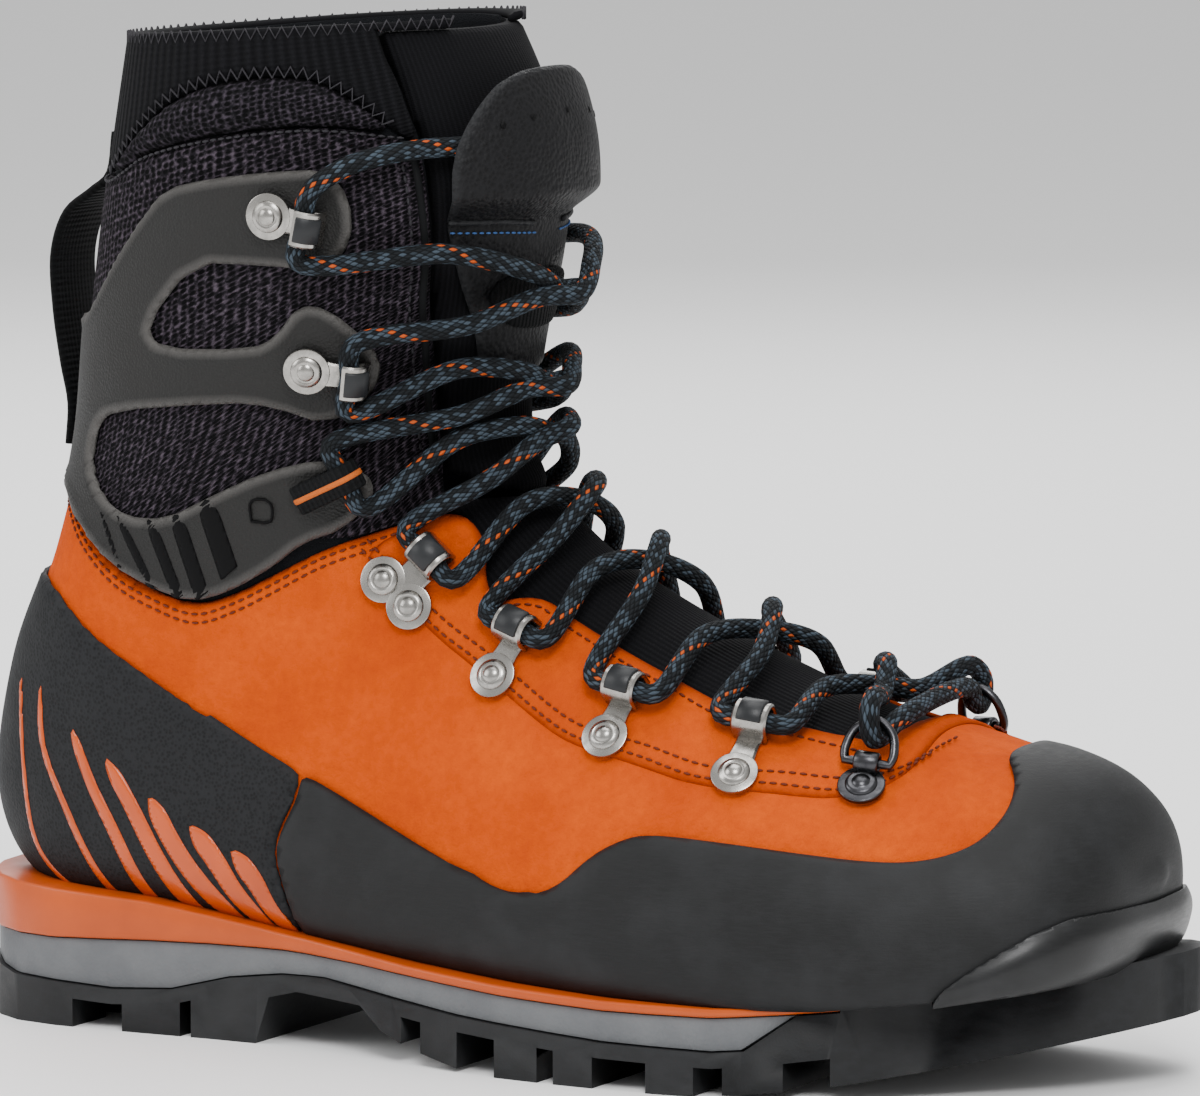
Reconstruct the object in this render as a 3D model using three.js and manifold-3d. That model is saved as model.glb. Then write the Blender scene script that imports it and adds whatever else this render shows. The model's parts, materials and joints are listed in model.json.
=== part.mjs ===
// Mountaineering boot for the right foot, stiff-soled, with a padded cuff and step-in crampon ledges.
// Millimetres. +X runs to the toe, -Y to the outer side of the foot, +Y to the inner side, +Z up.
// The origin is on the ground under the centre of the heel.
import * as THREE from "three";
import { mergeVertices } from "three/addons/utils/BufferGeometryUtils.js";
import Module from "manifold-3d";

const wasm = await Module();
wasm.setup();

// ---------------------------------------------------------------- driving dimensions

const BOOT_LENGTH = 306; // heel of the sole to its toe tip
const BALL_WIDTH = 109; // across the sole at the ball of the foot
const CUFF_RISE = 211; // from the top of the heel of the sole to the top of the cuff
const SOLE_HEIGHT = 33; // ground to the top of the sole at the heel

const OUTSOLE_SLAB = 3.6; // rubber left above the lugs
const MID_INSET = 1.2; // grey midsole set back from the outsole's edge
const GAP = 0.35; // clearance between pieces that touch

const SHELL_WALL = 1.4; // suede and outer fabrics
const LINING_WALL = 3.2; // padded inner bootie
const RAND_WALL = 2.1; // rubber rand and ankle frame
const HEEL_PATCH_WALL = 1.5;
const BOARD_WALL = 2; // lasting board
const FOOTBED_WALL = 4;
const SHANK_WALL = 1.3;
const SHANK_WIDTH = 26;

const LACE_DIAMETER = 4.8;
const METAL = 1.2; // sheet thickness of the lace hardware
const RIVET_RADIUS = 3.8;
const RIVET_HEIGHT = 1.7;
const GUIDE_WIDTH = 8.6; // along the lace
const GUIDE_ROOM = 0.6; // free play round the lace in its guides
const RING_WIRE = 2.2;
const WEBBING = 1.1; // thickness of the ankle's lace loop
const WEBBING_WIDTH = 7;
const PULL_LOOP_WIDTH = 20;
const PULL_LOOP_WALL = 1.9;

// ---------------------------------------------------------------- the grading of the last

// The tables below describe the boot in its base size. These three factors grade it.
const BASE = { length: 306, width: 109, rise: 211, sole: 33 };
const gradeX = (x) => (x * BOOT_LENGTH) / BASE.length;
const gradeY = (y) => (y * BALL_WIDTH) / BASE.width;
const gradeZ = (z) => {
  const above = z - BASE.sole;
  return above > 0 ? SOLE_HEIGHT + (above * CUFF_RISE) / BASE.rise : (z * SOLE_HEIGHT) / BASE.sole;
};

// Sections of the last from the toe tip to the cuff's rim. Each one is a closed curve in a plane across
// the boot: ridge and base are its front and back points in side view, outer and inner its half widths,
// lean the ridge's shift to the inner side, waist the height share of its widest line, and crown and
// tread the powers of its upper and lower arcs, from 2, an ellipse, to 4, nearly square.
const section = (ridgeX, ridgeZ, baseX, baseZ, outer, inner, lean, waist, crown, tread) => [
  gradeX(ridgeX), gradeZ(ridgeZ), gradeX(baseX), gradeZ(baseZ),
  gradeY(outer), gradeY(inner), gradeY(lean), waist, crown, tread,
];
const LAST = [
  section(260, 52, 260, 45, 3, 13, 8, 0.5, 2, 2),
  section(257.5, 60, 258.5, 36, 18, 25, 8, 0.42, 2.1, 2.6),
  section(252.5, 67, 254, 28, 29, 34, 8, 0.36, 2.1, 3),
  section(242, 73, 244, 22.5, 39, 40, 8, 0.32, 2.1, 3.5),
  section(220, 78.5, 222, 18.5, 49.5, 46, 8, 0.3, 2.1, 4),
  section(190, 87, 192, 17, 54.5, 47, 6, 0.28, 2, 4),
  section(163, 97.5, 160, 17, 54.5, 44, 5, 0.28, 2, 4),
  section(140, 108.5, 126, 18.5, 51, 40, 4, 0.28, 2, 4),
  section(122, 119.5, 90, 21.5, 45, 36, 3, 0.29, 2, 4),
  section(111, 130.5, 52, 25.5, 39, 34, 1, 0.33, 2.05, 4),
  section(104, 141, 14, 29.5, 37, 35, 0, 0.37, 2.1, 3.8),
  section(102, 153, -20, 31, 36.5, 36, 0, 0.43, 2.15, 3),
  section(103, 165, -37, 50, 37.5, 38, 0, 0.47, 2.2, 2.3),
  section(105, 177, -33.5, 82, 39, 40, 0, 0.48, 2.2, 2.2),
  section(107, 189, -22, 110, 42, 43, 0, 0.5, 2.2, 2.2),
  section(108, 202, -14, 138, 44, 45, 0, 0.5, 2.2, 2.2),
  section(107, 216, -10, 168, 46, 46, 0, 0.5, 2.2, 2.2),
  section(102, 230, -5, 200, 47, 47, 0, 0.5, 2.2, 2.2),
  section(94, 244, 2, 238, 47, 47, 0, 0.5, 2.2, 2.2),
];
const SPANS = LAST.length - 1;

// The section at t, from 0 at the toe tip to 1 at the rim, on a smooth curve through the table's rows.
function sectionAt(t) {
  const at = t * SPANS;
  const i = Math.min(Math.max(Math.floor(at), 0), SPANS - 1);
  const f = at - i;
  const end = (a, b) => a.map((v, k) => 2 * v - b[k]);
  const before = i > 0 ? LAST[i - 1] : end(LAST[0], LAST[1]);
  const after = i < SPANS - 1 ? LAST[i + 2] : end(LAST[SPANS], LAST[SPANS - 1]);
  return LAST[i].map((b, k) => {
    const a = before[k];
    const c = LAST[i + 1][k];
    const d = after[k];
    return b + 0.5 * f * (c - a + f * (2 * a - 5 * b + 4 * c - d + f * (3 * (b - c) + d - a)));
  });
}

// A point of the last's surface. u runs once round the section: 0 base, 0.25 outer side, 0.5 ridge.
function lastPoint(t, u) {
  const [rx, rz, bx, bz, outer, inner, lean, waist, crown, tread] = sectionAt(t);
  const angle = Math.PI * (2 * u - 0.5);
  const sin = Math.sin(angle);
  const cos = Math.cos(angle);
  const power = sin >= 0 ? crown : tread;
  const rise = Math.abs(sin) ** (2 / power);
  const reach = Math.abs(cos) ** (2 / power);
  const v = sin >= 0 ? waist + (1 - waist) * rise : waist - waist * rise;
  const baseY = (inner - outer) / 2;
  const middle = baseY + (lean - baseY) * v;
  const waistY = baseY + (lean - baseY) * waist;
  const y = cos >= 0 ? middle - (outer + waistY) * reach : middle + (inner - waistY) * reach;
  return new THREE.Vector3(bx + (rx - bx) * v, y, bz + (rz - bz) * v);
}

function lastNormal(t, u) {
  const step = 0.002;
  const along = lastPoint(t + step, u).sub(lastPoint(t - step, u));
  const round = lastPoint(t, u + step).sub(lastPoint(t, u - step));
  return round.cross(along).normalize();
}

// ---------------------------------------------------------------- solids and cuts

function solid(geometry) {
  const plain = geometry.index ? geometry.toNonIndexed() : geometry.clone();
  plain.deleteAttribute("normal");
  plain.deleteAttribute("uv");
  const merged = mergeVertices(plain, 1e-3);
  const triVerts = new Uint32Array(merged.index.array);
  const build = () => new wasm.Manifold(
    new wasm.Mesh({ numProp: 3, vertProperties: merged.attributes.position.array, triVerts }),
  );
  const made = build();
  if (made.volume() >= 0) return made;
  for (let i = 0; i < triVerts.length; i += 3) {
    [triVerts[i + 1], triVerts[i + 2]] = [triVerts[i + 2], triVerts[i + 1]];
  }
  return build();
}

function join(parts) {
  return parts.reduce((whole, part) => whole.add(part));
}

function shapeOf(points) {
  return new THREE.Shape(points.map(([x, y]) => new THREE.Vector2(x, y)));
}

// A prism across the whole boot from an outline in side view, given in the base size.
function sideCut(outline, low = -120, high = 120) {
  const graded = outline.map(([x, z]) => [gradeX(x), gradeZ(z)]);
  return sidePrism(graded, low, high);
}

// The same from an outline that is already in true size.
function sidePrism(outline, low, high) {
  const prism = new THREE.ExtrudeGeometry(shapeOf(outline), { depth: high - low, bevelEnabled: false });
  prism.rotateX(Math.PI / 2);
  prism.translate(0, high, 0);
  return solid(prism);
}

function box(low, high) {
  const size = high.map((v, i) => v - low[i]);
  const block = new THREE.BoxGeometry(...size);
  block.translate(low[0] + size[0] / 2, low[1] + size[1] / 2, low[2] + size[2] / 2);
  return solid(block);
}

// The last grown by an offset in mm, as a closed solid from section t = start to t = end.
// offset may be a function of the surface point, for a piece that stands off more in one place.
const TOE_STEPS = 1; // the toe's first span gets two steps
const AROUND = 20; // a multiple of 4, so that the ridge and the sides are on points
function grownLast(offset, end = 1) {
  const steps = [];
  for (let i = 0; i <= SPANS; i += 1) {
    steps.push(i / SPANS);
    if (i < TOE_STEPS) steps.push((i + 0.5) / SPANS);
  }
  if (end > 1) steps.push(end);
  const rows = steps.length - 1;
  const form = new THREE.CylinderGeometry(1, 1, 1, AROUND, rows);
  const position = form.attributes.position;
  for (let i = 0; i < position.count; i += 1) {
    const x = position.getX(i);
    const z = position.getZ(i);
    const t = steps[Math.round((position.getY(i) + 0.5) * rows)];
    const u = Math.round((Math.atan2(z, x) / (2 * Math.PI)) * AROUND) / AROUND;
    const rim = (v) => {
      const point = lastPoint(t, v);
      const grow = typeof offset === "function" ? offset(point) : offset;
      return point.addScaledVector(lastNormal(t, v), grow);
    };
    const centre = Math.hypot(x, z) < 0.5;
    const at = centre ? rim(0.25).add(rim(0.75)).add(rim(0)).add(rim(0.5)).divideScalar(4) : rim(u);
    position.setXYZ(i, at.x, at.y, at.z);
  }
  return solid(form);
}

const OVER_RIM = 1 + 0.4 / SPANS;
function skin(inner, outer) {
  return grownLast(outer).subtract(grownLast(inner, OVER_RIM));
}

// ---------------------------------------------------------------- finishes

const finish = (color, roughness, metalness = 0) => ({ color, roughness, metalness });
const SUEDE = finish(0xe0650c, 0.95);
const RUBBER = finish(0x2b2d2f, 0.75);
const GREY_FOAM = finish(0x7e8083, 0.7);
const ORANGE_TPU = finish(0xc8641e, 0.45);
const MICROFIBRE = finish(0x333536, 0.85);
const FRAME_TPU = finish(0x3c3c3a, 0.65);
const MESH_FABRIC = finish(0x36323a, 0.95);
const NEOPRENE = finish(0x222326, 0.9);
const LINING = finish(0x3a3d42, 0.95);
const LEATHER = finish(0x2c2c2e, 0.6);
const WEB = finish(0x242527, 0.9);
const LACE = finish(0x3b444b, 0.85);
const BOARD = finish(0x1d1e20, 0.5);
const FOAM = finish(0x4a4d52, 0.95);
const STEEL = finish(0xb4b2ae, 0.3, 1);
const DARK_STEEL = finish(0x6a6b6e, 0.3, 1);
const INSERT = finish(0x4a4c4f, 0.45);

const boot = new THREE.Group();

function geometryOf(form) {
  const { numProp, vertProperties, triVerts } = form.getMesh();
  const positions = new Float32Array((vertProperties.length / numProp) * 3);
  for (let i = 0; i < positions.length / 3; i += 1) {
    positions.set(vertProperties.subarray(i * numProp, i * numProp + 3), i * 3);
  }
  const geometry = new THREE.BufferGeometry();
  geometry.setAttribute("position", new THREE.BufferAttribute(positions, 3));
  geometry.setIndex(new THREE.BufferAttribute(new Uint32Array(triVerts), 1));
  geometry.computeVertexNormals();
  return geometry;
}

function addPiece(name, form, look) {
  const piece = new THREE.Mesh(geometryOf(form), new THREE.MeshStandardMaterial(look));
  piece.name = name;
  boot.add(piece);
}

// ---------------------------------------------------------------- the sole

// Plan outline of the sole in the base size, heel, outer side, toe, inner side.
const SOLE_PLAN = [
  [-38, 0], [-34, -20], [-20, -33], [5, -36.5], [35, -36.5], [62, -39], [90, -47], [120, -54],
  [150, -57], [175, -56.5], [195, -52.5], [213, -44], [230, -32.5], [247, -20], [260, -6], [268, 10],
  [267, 24], [258, 37], [242, 46], [220, 51], [190, 52], [160, 48], [125, 39], [90, 33.5],
  [60, 31.5], [30, 33], [5, 34.5], [-20, 32], [-34, 19],
];

// The sole's plan drawn in by an inset, as a prism over its whole height.
function solePlan(inset) {
  const curve = new THREE.CatmullRomCurve3(
    SOLE_PLAN.map(([x, y]) => new THREE.Vector3(gradeX(x), gradeY(y), 0)),
    true,
  );
  const count = 2 * SOLE_PLAN.length;
  const rim = [];
  for (let i = 0; i < count; i += 1) {
    const at = curve.getPoint(i / count);
    const dir = curve.getTangent(i / count);
    rim.push([at.x - inset * dir.y, at.y + inset * dir.x]);
  }
  const prism = new THREE.ExtrudeGeometry(shapeOf(rim), { depth: 120, bevelEnabled: false });
  prism.translate(0, 0, -20);
  return solid(prism);
}

// Heights along the sole in the base size: each line is [x, z] from heel to toe.
const SOLE_TOP = [
  [-60, 36.5], [-12, 33.6], [18, 32], [56, 27.2], [95, 23.6], [123, 21.8], [150, 20.8], [178, 20.8],
  [205, 22.2], [228, 24.8], [250, 28.5], [300, 36],
];
const WEDGE_BASE = [[-60, 28.5], [-38, 27.5], [-29, 21.6], [-10, 21.4], [18, 22.6], [36, 23], [56, 23.2],
  [80, 22.2], [123, 19.4], [150, 18.4], [178, 18.6], [207, 21]];
const MID_BASE = [
  [-60, 15], [-38, 14.6], [-22, 11.4], [8, 10.2], [24, 11.2], [40, 15.2], [55, 17.2], [68, 17.6],
  [88, 15.6], [110, 13.4], [150, 11], [178, 10.6], [195, 12.2],
];
const GROUND = [
  [-60, 0.9], [-34, 0], [48, 0], [52, 11.5], [60, 13.5], [80, 12.5], [87, 7], [96, 4], [110, 1], [120, 0],
  [166, 0], [185, 1], [205, 3.4], [225, 7], [245, 11.2], [300, 23],
];
const WEDGE_END = 207;
const MID_END = 197; // its end slopes up to the wedge's end

const raised = (line, by) => line.map(([x, z]) => [gradeX(x), gradeZ(z) + by]);
const heightAt = (line, x) => {
  const i = line.findIndex(([px], k) => k > 0 && px >= x);
  const [[x0, z0], [x1, z1]] = [line[i - 1], line[i]];
  return z0 + ((z1 - z0) * (x - x0)) / (x1 - x0);
};
const upTo = (line, x) => [...line.filter(([px]) => px < x), [x, heightAt(line, x)]];
const band = (low, high) => sidePrism([...low, ...high.toReversed()], -120, 120);

const soleTop = raised(SOLE_TOP, 0);
const wedgeEnd = gradeX(WEDGE_END);
const shankTop = gradeX(64);
const shankBack = gradeX(-24);
const shankPocket = (clear) => band(
  raised(SOLE_TOP, -SHANK_WALL - 2 * GAP - clear),
  raised(SOLE_TOP, 9),
).intersect(box(
  [shankBack - clear, -SHANK_WIDTH / 2 - clear, 0],
  [shankTop + clear, SHANK_WIDTH / 2 + clear, 200],
));

const wedge = solePlan(0)
  .intersect(band(upTo(raised(WEDGE_BASE, 0), wedgeEnd), upTo(soleTop, wedgeEnd)))
  .subtract(shankPocket(GAP));
addPiece("midsole_wedge_orange", wedge, ORANGE_TPU);

const shankLine = raised(SOLE_TOP, -GAP);
addPiece(
  "shank_plate",
  band(raised(SOLE_TOP, -GAP - SHANK_WALL), shankLine).intersect(shankPocket(0)),
  BOARD,
);

const midLow = upTo(raised(MID_BASE, GAP / 2), gradeX(MID_END - 12));
const midHigh = upTo(raised(WEDGE_BASE, -GAP), gradeX(MID_END));
addPiece("midsole_grey", solePlan(MID_INSET).intersect(band(midLow, midHigh)), GREY_FOAM);

// The outsole fills the room from the midsole's underside to the ground, and at the toe up to the ledge.
const LEDGE_START = 209;
const treadTop = [
  ...upTo(raised(MID_BASE, -GAP / 2), gradeX(MID_END - 11)),
  [gradeX(MID_END + 1), heightAt(raised(WEDGE_BASE, -GAP), gradeX(MID_END + 1))],
  [wedgeEnd, heightAt(raised(WEDGE_BASE, -GAP), wedgeEnd - 0.1)],
  [wedgeEnd + GAP, heightAt(soleTop, wedgeEnd + GAP)],
  ...soleTop.filter(([x]) => x > gradeX(LEDGE_START)),
];
const slabLine = [
  ...upTo(raised(MID_BASE, -GAP / 2 - OUTSOLE_SLAB), gradeX(MID_END - 11)),
  [gradeX(220), gradeZ(12)],
  [gradeX(300), gradeZ(28)],
];
const ground = raised(GROUND, 0);

// Grooves between the lugs: from, to along the boot. Side grooves run in from the edge, centre
// grooves cross the middle, and lengthwise channels part the two.
const SIDE_GROOVES = [
  [-3, 11], [27, 30], [93, 99], [110, 121], [133, 137.5], [148, 162], [174, 181], [195, 205],
];
const CENTRE_GROOVES = [[-26, -9], [9, 24], [104, 112], [126, 131], [152, 159], [170, 178], [190, 204]];
const CHANNELS = [[-24, 44], [98, 204]];
const CHANNEL_NEAR = 13;
const CHANNEL_FAR = 20;

function groove([from, to], low, high) {
  const a = gradeX(from);
  const b = gradeX(to);
  const inside = slabLine.filter(([x]) => x > a && x < b);
  const roof = [[a, heightAt(slabLine, a)], ...inside, [b, heightAt(slabLine, b)]];
  return sidePrism([[a, -30], [b, -30], ...roof.toReversed()], gradeY(low), gradeY(high));
}
const grooves = join([
  ...SIDE_GROOVES.flatMap((g) => [groove(g, -90, -CHANNEL_FAR), groove(g, CHANNEL_FAR, 90)]),
  ...CENTRE_GROOVES.map((g) => groove(g, -CHANNEL_NEAR, CHANNEL_NEAR)),
  ...CHANNELS.flatMap((g) => [
    groove(g, -CHANNEL_FAR, -CHANNEL_NEAR),
    groove(g, CHANNEL_NEAR, CHANNEL_FAR),
  ]),
]);
addPiece("outsole_lugged", solePlan(0).intersect(band(ground, treadTop)).subtract(grooves), RUBBER);

// ---------------------------------------------------------------- inside the boot

const LINING_OUT = -SHELL_WALL - GAP;
const LINING_IN = LINING_OUT - LINING_WALL;
const farAbove = (line) => [...line, [gradeX(300), 400], [gradeX(-80), 400]];
const aboveSole = (by) => sidePrism(farAbove(raised(SOLE_TOP, by)), -120, 120);
const boardTop = GAP + BOARD_WALL;
const liningFloor = boardTop + GAP;
const footbedBase = liningFloor + LINING_WALL + GAP;

addPiece(
  "lasting_board",
  grownLast(LINING_OUT).intersect(band(raised(SOLE_TOP, GAP), raised(SOLE_TOP, boardTop))),
  BOARD,
);
addPiece(
  "footbed",
  grownLast(LINING_IN - GAP).intersect(
    band(raised(SOLE_TOP, footbedBase), raised(SOLE_TOP, footbedBase + FOOTBED_WALL)),
  ),
  FOAM,
);

// ---------------------------------------------------------------- outlines of the upper, in side view

const HIGH = 320;
// The front edge of the cuff, from the rim down to the ankle. The tongue stands in front of it.
const CUFF_FRONT = [[78, 252], [82, 238], [86, 230], [88, 224], [91, 216], [92.5, 205], [93, 190], [91, 176],
  [90, 160], [90, 148], [91, 134]];
// The edge of the throat from the ankle down to the toe end of the lacing.
const THROAT = [[96, 128], [102, 121], [103, 113], [107, 107.5], [112, 109], [118, 108.5], [124, 105],
  [140, 97.5],
  [152, 92.5], [169, 85.5], [188, 81.5], [203, 78.5]];
const SUEDE_TOP = [[-60, 134], [-22, 132], [-10, 129], [-1, 121], [10, 112], [21, 107], [32, 104], [42, 107],
  [52, 112], [65, 119], [79, 124], [89, 127.5]];
const ROLL_BASE = [
  [-60, 203], [6, 205], [14, 208], [22, 212], [37, 216], [56, 219], [71, 220], [84, 218.6], [94, 213],
];
const ROLL_TOP = [[-60, 203], [6, 205.2], [15, 213], [22, 219], [31, 225], [44, 229.5], [56, 231], [67, 231],
  [74, 228], [80, 224], [85, 219.2], [94, 213]];

const shift = (line, dx, dz) => line.map(([x, z]) => [x + dx, z + dz]);
const cuffSide = (dx) => sideCut([
  ...shift(CUFF_FRONT, dx, 0), [91 + dx, 120], [-80, 120], [-80, HIGH], [60, HIGH],
]);

const upperShell = skin(-SHELL_WALL, 0).intersect(aboveSole(GAP));
const suedeRegion = [...SUEDE_TOP, ...THROAT, [206, 84], [207, 200], [300, 200], [300, 0], [-80, 0]];
addPiece("suede_upper", upperShell.intersect(sideCut(suedeRegion)), SUEDE);

const cuffShell = upperShell.intersect(cuffSide(0));
const ankleRegion = [
  ...shift(SUEDE_TOP, 0, GAP), [96, 129], [100, 132], [100, 211], ...shift(ROLL_BASE, 0, -GAP).toReversed(),
];
addPiece("ankle_fabric", cuffShell.intersect(sideCut(ankleRegion)), MESH_FABRIC);
const ROLL_STANDS = 3; // how far the padded roll stands proud of the cuff
const rollShell = skin(-SHELL_WALL, ROLL_STANDS).intersect(cuffSide(0));
const rollOutline = [...ROLL_BASE.slice(1, -1), ...ROLL_TOP.slice(1, -1).toReversed()];
addPiece("collar_roll_outer", rollShell.intersect(sideCut(rollOutline, -120, 0)), MESH_FABRIC);
addPiece("collar_roll_inner", rollShell.intersect(sideCut(rollOutline, 0, 120)), MESH_FABRIC);
addPiece(
  "cuff_neoprene",
  cuffShell.intersect(sideCut([...shift(ROLL_TOP, 0, GAP), [94, HIGH], [-60, HIGH]])),
  NEOPRENE,
);

// The bootie lines the foot and the cuff. Its front is open under the tongue, which laps below the throat.
const TONGUE_LAP = 7;
const liningShape = grownLast(LINING_OUT)
  .intersect(aboveSole(liningFloor))
  .subtract(grownLast(LINING_IN, OVER_RIM).intersect(aboveSole(liningFloor + LINING_WALL)));
const frontOpening = sideCut([
  [79, HIGH], ...CUFF_FRONT, [92, 128], ...shift(THROAT.slice(2), -2, -TONGUE_LAP - 2 * GAP),
  [212, 84 - TONGUE_LAP], [213, 200], [150, HIGH],
]);
addPiece("inner_bootie", liningShape.subtract(frontOpening), LINING);

// ---------------------------------------------------------------- the tongue

const TONGUE_FOOT = 134; // where the standing part of the tongue begins
const tongueShell = skin(LINING_IN, LINING_OUT);
const tongueLower = tongueShell.intersect(sideCut([
  [93.5, TONGUE_FOOT - 1.6], [93.5, 127], ...shift(THROAT.slice(2), -2, -TONGUE_LAP),
  [211, 84 - TONGUE_LAP], [212, 120], [140, TONGUE_FOOT - 1.6],
]));
addPiece("tongue_gusset", tongueLower, MESH_FABRIC);

const tongueFront = [...shift(CUFF_FRONT.slice(0, -1), 1, 0), [92, TONGUE_FOOT]];
const tongueSide = [...tongueFront, [150, TONGUE_FOOT], [150, HIGH], [78, HIGH]];
const tongueUpper = tongueShell.intersect(sideCut(tongueSide));
addPiece("tongue", tongueUpper, NEOPRENE);

// The leather shield on the tongue. Its top stands off to leave a pocket for the lace's knot.
const SHIELD_WALL = 1.3;
const POCKET = LACE_DIAMETER + 2 * GUIDE_ROOM;
const pocketStart = gradeZ(196);
const pocketEnd = gradeZ(204);
const pocketRise = (z) => (POCKET + LINING_OUT + 3) * THREE.MathUtils.smoothstep(z, pocketStart, pocketEnd);
const shieldBase = LINING_OUT + GAP;
const shieldShell = grownLast((p) => shieldBase + SHIELD_WALL + pocketRise(p.z))
  .subtract(grownLast((p) => shieldBase + pocketRise(p.z), OVER_RIM));
const SHIELD_SIDE = [[100, 229], [97.5, 221], [95.5, 212], [95.5, 200], [97, 185], [98, 170], [97.5, 159]];
addPiece(
  "tongue_shield",
  shieldShell.intersect(sideCut([...SHIELD_SIDE, [130, 159], [130, 231], [104, 231]])),
  LEATHER,
);
const labelBase = shieldBase + SHIELD_WALL + GAP;
addPiece(
  "tongue_label",
  skin(labelBase, labelBase + 0.8).intersect(sideCut([[100.5, 186], [101, 168], [130, 168], [130, 186]])),
  MESH_FABRIC,
);

// ---------------------------------------------------------------- rubber, frame and heel over the shell

const RAND_EDGE = [[226, 120], [226, 77], [235, 72], [238, 67], [237, 62], [233, 58], [225, 55.5], [215, 55],
  [200, 56], [177, 58], [159, 59], [152, 57], [145, 53], [137, 45.5], [129, 43], [119, 44], [102, 50],
  [84, 57], [67, 64], [62, 66]];
const RAND_BACK = [[61, 60], [57, 53], [55, 47], [57, 39], [59, 31], [61, 0]];
const outerShell = (wall) => skin(GAP, GAP + wall).intersect(aboveSole(GAP));
addPiece(
  "rubber_rand",
  outerShell(RAND_WALL).intersect(sideCut([...RAND_EDGE, ...RAND_BACK, [300, 0], [300, 120]])),
  RUBBER,
);
const HEEL_PATCH_TOP = [[-70, 109], [-22, 109], [-10, 106], [-5, 102], [4, 95], [15, 89], [27, 82],
  [40, 75.5],
  [52, 70], [61.4, 66]];
addPiece(
  "heel_patch_striped",
  outerShell(HEEL_PATCH_WALL).intersect(
    sideCut([...HEEL_PATCH_TOP, ...shift(RAND_BACK, -2 * GAP, 0), [-70, 0]]),
  ),
  MICROFIBRE,
);

// The bumper is a lip round the toe, between the rand and the ledge that a crampon's bail holds.
const BUMPER_WALL = 2.4;
const bumperBase = 2 * GAP + RAND_WALL;
addPiece(
  "toe_bumper",
  skin(bumperBase, bumperBase + BUMPER_WALL).intersect(aboveSole(GAP)).intersect(
    sideCut([[227, 10], [227, 25], [240, 34], [250, 41], [257, 44.5], [290, 45], [290, 10]]),
  ),
  RUBBER,
);

// ---------------------------------------------------------------- pull loop at the back

const PULL_PATH = [[-5.2, 214], [-6.8, 204], [-12, 199.5], [-19, 194], [-22.5, 184], [-22, 171], [-20, 158],
  [-18, 148], [-18.6, 138]];
const pullCurve = new THREE.SplineCurve(PULL_PATH.map(([x, z]) => new THREE.Vector2(gradeX(x), gradeZ(z))));
const pullSteps = 2 * (PULL_PATH.length - 1);
const pullSide = (by) => Array.from({ length: pullSteps + 1 }, (_, i) => {
  const at = pullCurve.getPoint(i / pullSteps);
  const dir = pullCurve.getTangent(i / pullSteps);
  return [at.x + by * dir.y, at.y - by * dir.x];
});
addPiece(
  "rear_pull_loop",
  sidePrism(
    [...pullSide(PULL_LOOP_WALL / 2), ...pullSide(-PULL_LOOP_WALL / 2).toReversed()],
    -PULL_LOOP_WIDTH / 2,
    PULL_LOOP_WIDTH / 2,
  ),
  WEB,
);

// ---------------------------------------------------------------- lace hardware

// Finds the surface point of one side that lies at x, z in side view. side is -1 outer or 1 inner.
function seatOn(x, z, side) {
  const target = new THREE.Vector2(gradeX(x), gradeZ(z));
  let best = { t: 0, u: 0, gap: Infinity };
  for (let i = 0; i <= 90; i += 1) {
    for (let k = 1; k < 45; k += 1) {
      const t = i / 90;
      const u = side < 0 ? k / 90 : 1 - k / 90;
      const p = lastPoint(t, u);
      const gap = Math.hypot(p.x - target.x, p.z - target.y);
      if (gap < best.gap) best = { t, u, gap };
    }
  }
  const off = (t, u) => {
    const p = lastPoint(t, u);
    return [p.x - target.x, p.z - target.y];
  };
  return solve(off, best.t, best.u);
}

// Newton steps for two equations in t and u.
function solve(off, t, u) {
  const step = 1e-4;
  for (let i = 0; i < 12; i += 1) {
    const [a, b] = off(t, u);
    const [at, bt] = off(t + step, u).map((v, k) => (v - [a, b][k]) / step);
    const [au, bu] = off(t, u + step).map((v, k) => (v - [a, b][k]) / step);
    const det = at * bu - au * bt;
    t -= (a * bu - b * au) / det;
    u -= (b * at - a * bt) / det;
  }
  return { t, u };
}

// A local frame on the surface: the first axis points from one side-view place to another, the third
// points out. onSurface(a, b, c) lays a local point on the curved surface, c above it.
function seat(from, to, side) {
  const { t, u } = seatOn(...from, side);
  const tip = seatOn(...to, side);
  const origin = lastPoint(t, u);
  const out = lastNormal(t, u);
  const first = lastPoint(tip.t, tip.u).sub(origin);
  const reach = first.length();
  first.addScaledVector(out, -first.dot(out)).normalize();
  const second = out.clone().cross(first);
  const place = (a, b, c) => {
    const off = (ti, ui) => {
      const away = lastPoint(ti, ui).sub(origin);
      return [away.dot(first) - a, away.dot(second) - b];
    };
    const s = solve(off, t, u);
    return lastPoint(s.t, s.u).addScaledVector(lastNormal(s.t, s.u), c);
  };
  return { place, reach, origin, first, second, out };
}

function layOn(geometry, frame) {
  const position = geometry.attributes.position;
  for (let i = 0; i < position.count; i += 1) {
    const at = frame.place(position.getX(i), position.getY(i), position.getZ(i));
    position.setXYZ(i, at.x, at.y, at.z);
  }
  return solid(geometry);
}

// The same without bending the piece: it stands on the tangent plane, lift above the surface at `at`.
function standOn(geometry, frame, at, lift) {
  const base = frame.place(at, 0, 0).addScaledVector(frame.out, lift);
  const matrix = new THREE.Matrix4().makeBasis(frame.first, frame.second, frame.out).setPosition(base);
  geometry.applyMatrix4(matrix);
  return solid(geometry);
}

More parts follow.
